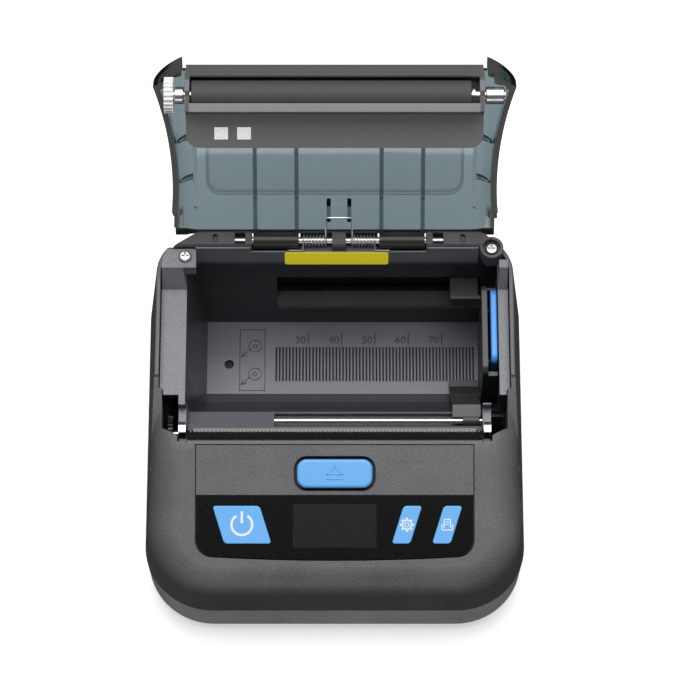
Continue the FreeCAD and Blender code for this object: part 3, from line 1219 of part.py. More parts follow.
def gear_shape(teeth, left, width, bore, phase):
    """A spur gear on the X axis, with straight-flanked teeth, from its left face along +X."""
    module = value("gear_module")
    pitch_radius = teeth * module / 2
    root = pitch_radius - 1.2 * module
    tip = pitch_radius + 0.9 * module
    step = 2 * math.pi / teeth
    corners = []
    for tooth in range(teeth):
        middle = phase + tooth * step
        for radius, share in ((root, -0.30), (tip, -0.12), (tip, 0.12), (root, 0.30)):
            angle = middle + share * step
            corners.append(FreeCAD.Vector(left, radius * math.cos(angle), radius * math.sin(angle)))
    disc = Part.Face(Part.makePolygon(corners + corners[:1])).extrude(FreeCAD.Vector(width, 0, 0))
    if bore > 0:
        disc = disc.cut(Part.makeCylinder(bore, width + 2, FreeCAD.Vector(left - 1, 0, 0),
                                          FreeCAD.Vector(1, 0, 0)))
    return disc


def make_gears():
    """Motor, pinion, two-step wheel and drive gear beside the bay, with their bracket and axles."""
    step = 2 * math.pi
    drive_angle = math.atan2(value(f"{DRIVE_Z}-{PLATEN_Z}"), value(f"{DRIVE_Y}-{PLATEN_Y}"))
    wheel_angle = math.atan2(value(f"{WHEEL_Z}-{DRIVE_Z}"), value(f"{WHEEL_Y}-{DRIVE_Y}"))
    motor_angle = math.atan2(value(f"{MOTOR_Z}-{WHEEL_Z}"), value(f"{MOTOR_Y}-{WHEEL_Y}"))
    teeth = {name: int(value(f"{name}_teeth")) for name in ("platen", "drive", "wheel", "step", "pinion")}
    left = -value("platen_gear_left")
    face = value("gear_face")
    axle = value("axle_radius+running_gap")
    # Each gear's phase puts a gap where the gear before it has a tooth
    platen_phase = drive_angle
    drive_phase = drive_angle + math.pi + step / teeth["drive"] / 2
    offset = (wheel_angle - drive_phase) / (step / teeth["drive"])
    small_phase = wheel_angle + math.pi + step / teeth["step"] * (0.5 + (offset - round(offset)))
    offset = (motor_angle - small_phase) / (step / teeth["wheel"])
    motor_phase = motor_angle + math.pi + step / teeth["pinion"] * (0.5 + (offset - round(offset)))

    def at(y, z):
        return FreeCAD.Placement(FreeCAD.Vector(0, value(y), value(z)), FreeCAD.Rotation())

    set_shape("drive_gear", gear_shape(teeth["drive"], left, face, axle, drive_phase), at(DRIVE_Y, DRIVE_Z))
    wheel_left = -value(WHEEL_LEFT)
    wheel = gear_shape(teeth["wheel"], wheel_left, face, axle, small_phase)
    small = gear_shape(teeth["step"], left, wheel_left - left + 0.1, axle, small_phase)
    set_shape("reduction_gear", wheel.fuse(small).removeSplitter(), at(WHEEL_Y, WHEEL_Z))
    pinion = gear_shape(teeth["pinion"], wheel_left, face, 0, motor_phase)
    stub = Part.makeCylinder(1, -value(BRACKET_LEFT) - wheel_left + value("bracket_thick") + 1,
                             FreeCAD.Vector(wheel_left, 0, 0), FreeCAD.Vector(1, 0, 0))
    set_shape("motor_pinion", pinion.fuse(stub).removeSplitter(), at(MOTOR_Y, MOTOR_Z))
    lid_turn = turn_about_x(-value("lid_open"))
    lid_turn.Base = FreeCAD.Vector(0, value("hinge_back"), value("hinge_height"))
    platen = gear_shape(teeth["platen"], left, value("platen_gear_left-platen_gear_right"),
                        value("shaft_radius"), platen_phase)
    axis = FreeCAD.Vector(0, -value("platen_reach"), -value("platen_drop"))
    set_shape("platen_gear", platen, lid_turn.multiply(FreeCAD.Placement(axis, FreeCAD.Rotation())))
    axles = Piece("gear_axles")
    axles.rod("X", ("-platen_gear_left-0.2", DRIVE_Y, DRIVE_Z), "axle_radius",
              "platen_gear_left+0.2-bush_left_end+3")
    axles.rod("X", ("-platen_gear_left-0.2", WHEEL_Y, WHEEL_Z), "axle_radius",
              f"platen_gear_left+0.2-{BRACKET_LEFT}+bracket_thick")
    bracket = Piece("gear_bracket")
    bracket.pad("YZ", f"-{BRACKET_LEFT}", [
        (f"{MOTOR_Y}-10", "floor_wall"), (f"{MOTOR_Y}+8", "floor_wall"),
        (f"{MOTOR_Y}+8", "bay_lip_height-5"),
        ("-bay_lip_front-3.5", "bay_lip_height-5"), ("-bay_lip_front-3.5", f"{WHEEL_Z}+3"),
        (f"{MOTOR_Y}-10", f"{WHEEL_Z}+3")], "bracket_thick")
    bracket.box(f"-{BRACKET_LEFT}", f"-{BRACKET_LEFT}+7", f"{MOTOR_Y}-10", f"{MOTOR_Y}+10", "floor_wall",
                "floor_wall+bracket_thick")
    bracket.bore("X", (f"-{BRACKET_LEFT}-1", WHEEL_Y, WHEEL_Z), "axle_radius", "bracket_thick+2")
    bracket.bore("X", (f"-{BRACKET_LEFT}-1", MOTOR_Y, MOTOR_Z), "1+move_gap", "bracket_thick+2")
    motor = Piece("feed_motor")
    start = f"-{BRACKET_LEFT}+bracket_thick"
    motor.rod("X", (start, MOTOR_Y, MOTOR_Z), "motor_radius", "motor_length")
    motor.fillet(lambda middle, edge: middle.x > value(f"{start}+motor_length-0.1"), "1")
    motor.bore("X", (f"{start}-1", MOTOR_Y, MOTOR_Z), "1+running_gap", "5")


def lid_outline(inset, rear):
    """Plan outline of the lid, closed, with its waisted sides; the inset makes the inner wall."""
    flare = f"(lid_flare_half-({inset}))"
    waist = f"(lid_waist_half-({inset}))"
    tail = f"(lid_rear_half-({inset}))"
    return [
        (f"-{flare}", "-lid_front-2"), (flare, "-lid_front-2", waist, "-lid_waist_place"), (tail, rear),
        (f"-{tail}", rear, f"-{waist}", "-lid_waist_place"),
    ]


def trim_lid_front(piece, inset):
    """Cut the lid's straight front and its two slanting front corners, moved in by the inset."""
    piece.cut_box("-body_width", "body_width", "-lid_front-9", f"-lid_front+({inset})", "-lid_dome",
                  "lid_dome")
    for sign in ("", "-"):
        piece.pocket("XY", "lid_dome", [
            (f"{sign}(lid_front_half-({inset})*0.24)", f"-lid_front+({inset})"),
            (f"{sign}(lid_front_half-({inset})*0.24+20)", f"-lid_front+({inset})+20*lid_corner_slope"),
            (f"{sign}(lid_front_half-({inset})*0.24+20)", "-lid_front-9"),
            (f"{sign}(lid_front_half-({inset})*0.24)", "-lid_front-9")], "lid_dome*2", to=-1)


def dome_cut(piece, drop):
    """Cut everything above the lid's domed skin, lowered by drop."""
    front = "(lid_front+4)"
    rear = "(-4)"
    piece.pocket("YZ", "0", [
        (f"-{front}", lid_skin(front, drop), "-lid_apex_place", f"lid_apex-({drop})"),
        (f"-{rear}", lid_skin(rear, drop)), (f"-{rear}", "lid_apex+20"), (f"-{front}", "lid_apex+20")],
        "body_width*2", to=0)
    return piece


def is_lid_shoulder(middle, drop):
    """True where a point lies on the long upper side edges of the lid."""
    return abs(middle.x) > value("lid_front_half+1.5") and abs(middle.z - value(lid_skin(str(-middle.y),
                                                                                         drop))) < 0.5


def make_lid_hollow():
    """The space under the lid's skin, open at the rear."""
    hollow = Piece("lid_hollow", "base", keep=False)
    hollow.pad("XY", "-lid_edge-1", lid_outline("lid_wall", "1.5"), "lid_edge+lid_apex+4")
    dome_cut(hollow, "lid_wall")
    hollow.fillet(lambda middle, edge: is_lid_shoulder(middle, "lid_wall"), "lid_round-lid_wall")
    trim_lid_front(hollow, "lid_wall")
    return hollow


def make_lid_panel():
    """The shallow step in the lid's skin that frames its window."""
    panel = Piece("lid_panel", "base", keep=False)
    panel.pad("XY", "-lid_edge", rounded(
        "-lid_panel_half", "-lid_front+3", "lid_panel_half", "-lid_panel_rear", "4.5"),
        "lid_edge+lid_apex+4")
    return dome_cut(panel, "lid_wall-lid_panel_step")


def make_lid():
    """The smoky lid: domed skin, waisted side wings, ribs and hinge barrels in one moulding."""
    lid = Piece("lid_shell", "lid")
    lid.pad("XY", "-lid_edge", lid_outline("0", "-lid_rear"), "lid_edge+lid_apex+4")
    dome_cut(lid, "0")
    lid.fillet(lambda middle, edge: is_lid_shoulder(middle, "0"), "lid_round")
    trim_lid_front(lid, "0")
    lid.cut_by(make_lid_hollow())
    lid.cut_by(make_lid_panel())
    lid.cut_box("-carrier_half-1", "carrier_half+1", "-lid_front-1", "-lip_rear+0.2", "-lid_edge-1",
                "lid_apex+4")
    lid.cut_box("-lid_front_half-2", "lid_front_half+2", "-lid_front-1", "-lip_rear", "-lid_edge-1",
                "hook_top-hinge_height+1.2")
    # Rear ends of the wings, which stand over the screw pads and clear the ear on the right
    for start, rise in (("-body_width", [("-8", "0.4"), ("-8", "1.5"), ("-3.5", "1.5"), ("-3.5", "2")]),
                        ("0", [("-7.2", "0.4"), ("-7.2", "2")])):
        lid.pocket("YZ", start, [
            ("-13", "-lid_edge-1"), ("-13", "-lid_edge"), ("-9.8", "0.4"), *rise, ("5", "2"),
            ("5", "-lid_edge-1")], "body_width")
    skin = "(lid_wall*0.55)"
    for spot in ("-rib_far", "-rib_near", "rib_near", "rib_far"):
        lid.pad("YZ", f"hinge_side+{spot}", [
            ("-rib_end", lid_skin("rib_end", skin), "-18", lid_skin("18", skin)),
            ("-2.6", lid_skin("2.6", skin)), ("0", "barrel_radius*0.9"), ("-barrel_radius*0.9", "-0.3"),
            ("-6", "0.8", "-20", "lid_apex-5"), ("-rib_end", lid_skin("rib_end", "lid_wall+2.4"))],
            "rib_thick", to=0)
    for spot in ("-3", "3"):
        lid.pad("YZ", f"hinge_side+{spot}", [
            ("-11.5", lid_skin("11.5", skin)), ("-5.5", lid_skin("5.5", skin)), ("-5.5", "1.2"),
            ("-10.5", "1.6")],
            "rib_thick", to=0)
    side_rib = "(lid_waist_half-6.4)"
    for spot in (f"-{side_rib}", side_rib):
        lid.pad("YZ", spot, [
            ("-rib_end", lid_skin("rib_end", skin), "-20", lid_skin("20", skin)),
            ("-9.5", lid_skin("9.5", skin)),
            ("-9.5", lid_skin("9.5", "lid_wall+2.5"), "-20", lid_skin("20", "lid_wall+3.4")),
            ("-rib_end", lid_skin("rib_end", "lid_wall+3.4"))], "1", to=0)
    for place in ("19", "32"):
        for sign in ("", "-"):
            lid.pad("XZ", f"-{place}", [
                (f"{sign}{side_rib}", lid_skin(place, skin)),
                (f"{sign}(lid_waist_half-2.6)", lid_skin(place, "2.4")),
                (f"{sign}(lid_waist_half-0.8)", lid_skin(place, "5.6")),
                (f"{sign}(lid_waist_half-0.8)", lid_skin(place, "8")),
                (f"{sign}(lid_waist_half-3)", lid_skin(place, "6")),
                (f"{sign}{side_rib}", lid_skin(place, "3.6"))],
                "0.9", to=0)
    for start in ("hinge_side+barrel_inner", "hinge_side-barrel_outer"):
        lid.rod("X", (start, "0", "0"), "barrel_radius", "barrel_outer-barrel_inner")
    lid.bore("X", ("-platen_gear_left-0.4", "-platen_reach", "-platen_drop"),
             "platen_teeth*gear_module/2+0.8", "platen_gear_left-carrier_half")
    lid.bore("X", ("carrier_half+1", "-platen_reach", "-platen_drop"), "bush_radius+0.4",
             "bush_right_end-carrier_half-0.5")
    lid.bore("X", ("hinge_side-barrel_outer-1", "0", "0"), "hinge_pin_radius+running_gap",
             "barrel_outer*2+2")


def make_carrier():
    """Roller carrier under the front of the lid, with its cheeks and two clear sensor windows."""
    carrier = Piece("roller_carrier", "lid")
    under = "(lid_wall+0.2)"
    carrier.pad("YZ", "0", [
        ("-carrier_rear", "-carrier_face"), ("-platen_reach+platen_radius+2.7", "-carrier_face"),
        ("-platen_reach+platen_radius+0.3", "-carrier_face+1"), ("-platen_reach+platen_radius+0.3", "-2"),
        ("-carrier_front", "-2"), ("-carrier_front", "1"), ("-carrier_rear", "2")], "carrier_half*2", to=0)
    carrier.fillet(lambda middle, edge: upright(edge) and abs(middle.y + value("carrier_rear")) < 1e-3, "4")
    carrier.pad("YZ", "0", [
        ("-carrier_rear-1", "0"), ("-carrier_front", "0"),
        ("-carrier_front", lid_skin("carrier_front", under), "-platen_reach+5.5",
         lid_skin("platen_reach-5.5", under)),
        ("-carrier_rear-1", lid_skin("carrier_rear+1", under))], "(carrier_half-4.3)*2", to=0)
    carrier.cut_box("-carrier_half+1.5", "carrier_half-1.5", "-carrier_rear-9", "-carrier_rear-1.5",
                    "-carrier_face+1.5", "1.5")
    # Front lip that closes the lid over the paper exit
    carrier.pad("YZ", "0", [
        ("-lip_rear", "-2"), ("-lip_rear", lid_skin("lip_rear", "0.05")),
        ("-lip_top", lid_skin("lip_top", "0.05")),
        ("-lip_front", "-lip_edge"), ("-lip_front+0.7", "-lip_edge"), ("-lip_top+0.3", "-2")],
        "carrier_half*2", to=0)
    carrier.fillet(lambda middle, edge: along_x(edge) and abs(middle.y + value("lip_top")) < 1e-3, "0.8")
    # Paper lip that reaches under the roller from the carrier's face
    lip_half = "(carrier_half-1.2)"
    carrier.pad("YZ", "0", [
        ("-platen_reach+6.8", "-carrier_face+0.5"), ("-platen_reach+6.8", "-carrier_face"),
        ("-platen_reach+2.2", "-platen_drop-5.9"), ("-platen_reach+0.1", "-platen_drop-4.64"),
        ("-platen_reach+platen_radius+0.4", "-carrier_face+0.5")], f"{lip_half}*2", to=0)
    carrier.bore("X", (f"-{lip_half}-0.1", "-platen_reach", "-platen_drop"), "platen_radius+0.4",
                 f"{lip_half}*2+0.2")
    for side in ("-carrier_half", "carrier_half-cheek_thick"):
        carrier.pad("YZ", side, [
            ("-platen_reach+platen_radius+1", "-1.5"), ("-platen_reach+platen_radius+2.2", "-carrier_face"),
            ("-platen_reach+3.6", "-platen_drop-3"), ("-platen_reach-3", "-platen_drop-3"),
            ("-platen_reach-5", "-platen_drop"), ("-platen_reach-5", "-1.5")], "cheek_thick")
    carrier.bore("X", ("-carrier_half-1", "-platen_reach", "-platen_drop"), "shaft_radius+running_gap",
                 "carrier_half*2+2")
    glass = Piece("sensor_windows", "lid")
    for spot in ("-window_one", "-window_two"):
        for piece, gap, deep in ((carrier, "0.05", "window_depth+0.02"), (glass, "0", "window_depth")):
            corners = (f"{spot}-window_size/2-{gap}", f"{spot}+window_size/2+{gap}",
                       f"-window_place-window_size/2-{gap}",
                       f"-window_place+window_size/2+{gap}", "-carrier_face", f"-carrier_face+{deep}")
            if piece is carrier:
                piece.cut_box(*corners[:4], "-carrier_face-1", corners[5])
            else:
                piece.box(*corners)


def make_platen():
    """Rubber feed roller on its steel shaft, with a bush at each end."""
    axis = ("-platen_reach", "-platen_drop")
    shaft = Piece("platen_shaft", "lid")
    shaft.rod("X", ("-platen_gear_left+0.2", *axis), "shaft_radius",
              "platen_gear_left-0.2+bush_right_end+0.3")
    shaft.rod("X", ("platen_right+0.3", *axis), "shaft_radius+0.9", "0.7")
    rubber = Piece("platen_rubber", "lid")
    rubber.rod("X", ("-platen_left", *axis), "platen_radius", "platen_left+platen_right")
    rubber.fillet(lambda middle, edge: True, "0.3")
    rubber.bore("X", ("-platen_left-1", *axis), "shaft_radius", "platen_left+platen_right+2")
    for label, start, length in (("bush_left", "-bush_left_end", "bush_left_end-bush_start"),
                                 ("bush_right", "bush_start", "bush_right_end-bush_start")):
        bush = Piece(label, "lid")
        bush.rod("X", (start, *axis), "bush_radius", length)
        bush.chamfer(lambda middle, edge: True, "0.25")
        bush.bore("X", (f"{start}-1", *axis), "shaft_radius+running_gap", f"{length}+2")


make_upper_case()
make_lower_case()
make_power()
make_roll_bay()
make_hinge()
make_lid_spring()
make_panel()
make_tear_blade()
make_print_head()
make_latch()
make_guide()
make_gears()
make_lid()
make_carrier()
make_platen()

doc.recompute()
failed = [item.Label for item in doc.Objects if "Invalid" in item.State or "Error" in item.State]
if failed:
    raise RuntimeError(f"features that failed: {failed}")
for node in NODES:
    if node.Shape.isNull() or not node.Shape.isValid() or not node.Shape.Solids:
        raise RuntimeError(f"{node.Label} has no valid solid")
os.makedirs("parts", exist_ok=True)
for node in NODES:
    node.Shape.exportStep(f"parts/{node.Label}.step")
    print(f"{node.Label}: {len(node.Shape.Solids)} solids, {node.Shape.Volume:.1f} mm3")
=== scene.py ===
"""Portable label printer with its smoky lid open: finishes, moulded marks, lid spring and studio.

The file is laid out as an add-on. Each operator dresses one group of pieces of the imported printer,
and the sizes and colours that a user would change are properties of the scene.
"""
import json
import math

import bmesh
import bpy
from mathutils import Matrix, Vector


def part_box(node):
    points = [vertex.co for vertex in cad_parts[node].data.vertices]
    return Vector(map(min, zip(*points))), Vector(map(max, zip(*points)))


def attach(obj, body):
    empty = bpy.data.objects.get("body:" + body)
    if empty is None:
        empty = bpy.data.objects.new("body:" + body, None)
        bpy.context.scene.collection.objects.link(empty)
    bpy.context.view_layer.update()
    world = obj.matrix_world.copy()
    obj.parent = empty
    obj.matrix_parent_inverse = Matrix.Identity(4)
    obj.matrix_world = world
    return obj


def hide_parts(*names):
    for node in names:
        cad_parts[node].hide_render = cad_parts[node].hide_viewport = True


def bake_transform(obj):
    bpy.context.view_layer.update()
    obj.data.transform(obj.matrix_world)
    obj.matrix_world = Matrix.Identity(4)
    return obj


bl_info = {
    "name": "Portable label printer",
    "version": (1, 0, 0),
    "blender": (4, 5, 0),
    "location": "3D View > Sidebar > Printer",
    "description": "Finishes, moulded marks, lid spring and studio of a portable label printer",
    "category": "Object",
}

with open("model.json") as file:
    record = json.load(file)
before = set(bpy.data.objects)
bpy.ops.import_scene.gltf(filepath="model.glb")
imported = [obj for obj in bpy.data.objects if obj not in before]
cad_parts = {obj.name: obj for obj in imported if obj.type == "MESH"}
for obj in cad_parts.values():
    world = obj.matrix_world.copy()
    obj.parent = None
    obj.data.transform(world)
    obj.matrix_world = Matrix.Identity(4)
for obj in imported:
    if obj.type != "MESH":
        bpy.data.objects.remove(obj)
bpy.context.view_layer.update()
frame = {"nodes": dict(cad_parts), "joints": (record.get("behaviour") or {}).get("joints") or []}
MM = 0.001
JOINTS = {joint["name"]: joint for joint in frame["joints"]}
HINGE = Vector(JOINTS["lid_hinge"]["pos_m"])
LID_OPEN = math.radians(JOINTS["lid_hinge"]["range_deg"][1])
DECK_NORMAL = -Vector(JOINTS["open_press"]["axis"])
LID_ALONG = Vector((0, -math.cos(LID_OPEN), math.sin(LID_OPEN)))
LID_INSIDE = Vector((0, -math.sin(LID_OPEN), -math.cos(LID_OPEN)))
X_AXIS, Y_AXIS, Z_AXIS = (1, 0, 0), (0, 1, 0), (0, 0, 1)
NO_GRAIN = (1, 1, 1)

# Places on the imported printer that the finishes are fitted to
FLOOR_SPOT = (-30 * MM, 36.5 * MM)
LEDGE_SPOT = (-46 * MM, 20 * MM)
SLOPE_REAR = 9.8 * MM
BARREL_RADIUS = 3.6 * MM
CORNER_INNER = 44 * MM
CORNER_REACH = 8 * MM
HORN_DEPTH = 2.6 * MM
RIM_DEPTH = 0.25 * MM
CARRIER_LIP = 52.8 * MM
PADDLE_DEPTH = 1.95 * MM
TOOTH_DEPTH = 0.35 * MM

# The loading sign's rolls and arrows, in millimetres from each roll's middle
SIGN_SHARES = (0.27, 0.73)
ROLL_RADII = (1.9, 0.6)
ARROW_START = Vector((-1.6, -1.1))
ARROW_TIP = Vector((-4, -3.4))
ARROW_BARBS = (Vector((1.5, 0.3)), Vector((0.4, 1.5)))

# Studio, fitted to the photograph
VIEW_TARGET = Vector((1.5, 25.8, 30)) * MM
VIEW_DISTANCE = 1100 * MM
VIEW_ELEVATION = math.radians(65)
VIEW_LENS = 198
LIGHT_TARGET = Vector((0, 0, 0.04))
LIGHTS = (  # name, place and size in metres, watts
    ("overhead_soft", (0.0, 0.25, 1.0), (1.0, 0.95), 13),
    ("left_soft", (-0.8, 0.0, 0.5), (0.5, 0.8), 0.7),
    ("right_soft", (0.8, 0.0, 0.5), (0.5, 0.8), 0.7),
    ("front_fill", (0, -0.9, 0.12), (0.6, 0.2), 1.2),
)
AIR_LIGHT = 0.05
PAPER_GLOW = 0.5
# Painted light: the label on the shaded rear wall glows.
LABEL_PAINTED_LIGHT = 0.32
# Painted light: the sensor windows glow.
WINDOW_PAINTED_LIGHT = 0.2


def length(name, description, millimetres):
    """A size that a user may change, given in millimetres and kept in metres."""
    return bpy.props.FloatProperty(
        name=name, description=description, default=millimetres * MM, unit="LENGTH")


def colour(name, description, *default):
    """A colour that a user may change."""
    return bpy.props.FloatVectorProperty(
        name=name, description=description, default=default, size=3, min=0, max=1, subtype="COLOR")


class PrinterSizes(bpy.types.PropertyGroup):
    """Sizes of the marks, the spring and the lid's window."""

    mark_height: length("Mark height", "How far marks stand out of the bay's floor", 0.16)
    ink_height: length("Ink height", "Thickness of the printed marks on the keys", 0.05)
    line_width: length("Line width", "Width of moulded lines in the bay", 0.35)
    ruler_first: length("First tick", "Place of the ruler's first tick across the bay", -8)
    ruler_step: length("Ruler step", "Distance between the ruler's ticks", 10)
    ruler_front: length("Tick front", "Front end of the ruler's ticks", 34.5)
    tick_length: length("Tick length", "Length of the ruler's ticks", 3.8)
    digit_height: length("Digit height", "Height of the ruler's numbers", 3.3)
    sign_left: length("Sign left", "Left edge of the loading sign on the bay's floor", -28.5)
    sign_front: length("Sign front", "Front edge of the loading sign", 19.4)
    sign_width: length("Sign width", "Width of the loading sign", 7.5)
    sign_depth: length("Sign depth", "Depth of the loading sign", 20)
    power_radius: length("Power sign radius", "Radius of the ring on the power key", 2.95)
    gear_radius: length("Gear sign radius", "Radius of the ring on the settings key", 1.3)
    page_width: length("Page sign width", "Width of the page on the feed key", 3.0)
    power_stroke: length("Power sign stroke", "Width of the power sign's lines", 0.68)
    gear_stroke: length("Gear sign stroke", "Width of the gear sign's lines", 0.4)
    page_stroke: length("Page sign stroke", "Width of the page sign's lines", 0.3)
    open_half: length("Open sign half width", "Half width of the release button's sign", 2.2)
    open_stroke: length("Open sign stroke", "Width of the release button's lines", 0.4)
    open_height: length("Open sign height", "How far that sign stands out of the button", 0.12)
    wire: length("Spring wire", "Thickness of the lid spring's wire", 0.5)
    coil_radius: length("Coil radius", "Radius of the lid spring's coils", 1.5)
    coil_inner: length("Coil inner end", "Distance of each coil's inner end from the middle", 3.8)
    coil_pitch: length("Coil pitch", "Rise of each turn along the pin", 0.95)
    loop_reach: length("Loop reach", "How far the spring's loop reaches up the lid", 8.4)
    leg_reach: length("Leg reach", "How far each leg runs down from its coil", 2.5)
    leg_turn: length("Leg turn", "Length of the bent end of each leg", 3.2)
    window_half: length("Window half width", "Half width of the window framed in the lid", 37.5)
    window_low: length("Window rear", "Distance of the window's rear edge from the hinge", 12.5)
    window_high: length("Window front", "Distance of the window's front edge from the hinge", 54.9)
    window_corner: length("Window corner", "Radius of the window's corners", 4.5)
    coil_turns: bpy.props.IntProperty(
        name="Coil turns", description="Turns in each coil", default=7)
    ruler_start: bpy.props.IntProperty(
        name="First number", description="Number at the ruler's first tick", default=30)
    ruler_count: bpy.props.IntProperty(
        name="Ticks", description="How many ticks the ruler has", default=5)


class PrinterColours(bpy.types.PropertyGroup):
    """Colours of the finishes."""

    case: colour("Case", "Spark-textured upper case and deck", 0.112, 0.112, 0.116)
    band: colour("Band", "Lower case", 0.8, 0.79, 0.775)
    bay: colour("Bay", "Polished inside of the roll bay", 0.05, 0.053, 0.06)
    ledge: colour("Ledges", "Textured ledges beside the roll bay", 0.165, 0.17, 0.187)
    hinge: colour("Hinge bar", "Bar across the rear", 0.06, 0.06, 0.063)
    carrier: colour("Carrier", "Roller carrier under the lid", 0.195, 0.192, 0.192)
    guide: colour("Guide", "Sliding paper guide", 0.032, 0.033, 0.036)
    key: colour("Keys", "Blue keys and release button", 0.15, 0.46, 0.92)
    paddle: colour("Paddle", "Blue paddle of the paper guide", 0.06, 0.32, 0.86)
    rubber: colour("Rubber", "Feed roller", 0.06, 0.06, 0.065)
    overlay: colour("Overlay", "Black film over the deck", 0.004, 0.004, 0.0042)
    display: colour("Display", "Unlit display", 0.009, 0.009, 0.0093)
    ink: colour("Ink", "Printed marks on the keys", 0.86, 0.93, 0.98)
    label: colour("Label", "Blank label on the rear wall", 0.93, 0.76, 0.012)
    nylon: colour("Nylon", "White gears", 0.93, 0.93, 0.92)
    steel: colour("Steel", "Shafts, pins and springs", 0.72, 0.72, 0.71)
    acetal: colour("Acetal", "Dark gears of the drive", 0.012, 0.012, 0.013)
    smoke: colour("Smoke", "What the lid's wall lets through", 0.145, 0.19, 0.205)
    lid_edge: colour("Lid edge", "Dull lower edge of the lid's wings", 0.06, 0.058, 0.055)


class Wire:
    """One socket of a finish's nodes. Sums and products of wires add Math nodes."""

    def __init__(self, finish, socket):
        self.finish = finish
        self.socket = socket

    def math(self, operation, other, flip=False):
        pair = (other, self) if flip else (self, other)
        return self.finish.add("ShaderNodeMath", {"operation": operation}, {0: pair[0], 1: pair[1]})

    def __add__(self, other):
        return self.math("ADD", other)

    def __radd__(self, other):
        return self.math("ADD", other, flip=True)

    def __sub__(self, other):
        return self.math("SUBTRACT", other)

    def __rsub__(self, other):
        return self.math("SUBTRACT", other, flip=True)

    def __mul__(self, other):
        return self.math("MULTIPLY", other)

    def __rmul__(self, other):
        return self.math("MULTIPLY", other, flip=True)


class Finish:
    """A procedural material, built node by node on the piece's own coordinates in metres."""

    def __init__(self, name, **constants):
        self.material = bpy.data.materials.new(name)
        self.material.use_nodes = True
        self.tree = self.material.node_tree
        self.shader = self.tree.nodes["Principled BSDF"]
        self.output = self.tree.nodes["Material Output"]
        for socket, value in constants.items():
            self.shader.inputs[socket.replace("_", " ")].default_value = value
        self.place = self.add("ShaderNodeTexCoord", output="Object")

    def add(self, kind, settings=None, inputs=None, output=0):
        """A node of any kind: its settings first, then the values or links of its sockets."""
        node = self.tree.nodes.new(kind)
        for name, value in (settings or {}).items():
            setattr(node, name, value)
        for name, value in (inputs or {}).items():
            if isinstance(value, Wire):
                self.tree.links.new(value.socket, node.inputs[name])
            else:
                node.inputs[name].default_value = value
        return Wire(self, node.outputs[output])

    def feed(self, socket, wire):
        """Link a wire to a socket of the shader."""
        self.tree.links.new(wire.socket, self.shader.inputs[socket])

    def noise(self, size, detail=2.0, stretch=(1, 1, 1)):
        """Noise whose features measure about this size, stretched along the axes."""
        place = self.add("ShaderNodeMapping", None, {"Vector": self.place, "Scale": stretch})
        return self.add("ShaderNodeTexNoise", None,
                        {"Vector": place, "Scale": 1 / size, "Detail": detail})

    def mix(self, share, first, second):
        """A colour between two others."""
        pair = {6: (*first, 1) if isinstance(first, tuple) else first,
                7: (*second, 1) if isinstance(second, tuple) else second}
        return self.add("ShaderNodeMix", {"data_type": "RGBA"}, {0: share, **pair}, output=2)

    def along(self, direction, origin=(0, 0, 0)):
        """Distance of each point from an origin along a direction."""
        return self.vector("DOT_PRODUCT", self.vector("SUBTRACT", self.place, origin), direction)

    def vector(self, operation, first, second=None):
        """A Vector Math node; a length comes out as a number."""
        inputs = {0: first} if second is None else {0: first, 1: second}
        return self.add("ShaderNodeVectorMath", {"operation": operation}, inputs,
                        output=1 if operation in ("LENGTH", "DOT_PRODUCT") else 0)

    def step(self, wire, low, high):
        """Nought below one level and one above another, with a soft rise between."""
        return self.add("ShaderNodeMapRange", {"interpolation_type": "SMOOTHSTEP"},
                        {"Value": wire, "From Min": low, "From Max": high})

    def shade(self, base, share, spread):
        """Vary a base colour by a share, from darker to lighter."""
        self.feed("Base Color", self.mix(share, scaled(base, 1 - spread), scaled(base, 1 + spread)))

    def bump(self, height, distance, strength=1.0, rounding=None):
        """Relief of this depth, on normals rounded over at the edges where a radius is given."""
        inputs = {"Height": height, "Distance": distance, "Strength": strength}
        if rounding:
            inputs["Normal"] = self.add("ShaderNodeBevel", {"samples": 4}, {"Radius": rounding})
        self.feed("Normal", self.add("ShaderNodeBump", None, inputs))


def scaled(base, factor):
    """A colour made darker or lighter, as a tuple."""
    return tuple(min(1.0, part * factor) for part in base)


def moulded(name, base, rough=0.5, grain=0.55, depth=0.04, spread=0.8, rounding=0.25):
    """Moulded plastic with a fine spark texture, given in millimetres."""
    finish = Finish(name, IOR=1.5, Specular_IOR_Level=0.5)
    sparks = finish.noise(grain * MM, 3)
    clouds = finish.noise(14 * MM, 2)
    finish.shade(base, 0.65 * sparks + 0.35 * clouds, spread)
    finish.feed("Roughness", (rough - 0.1) + 0.2 * clouds)
    finish.bump(sparks, depth * MM, 1.0, rounding * MM)
    return finish.material


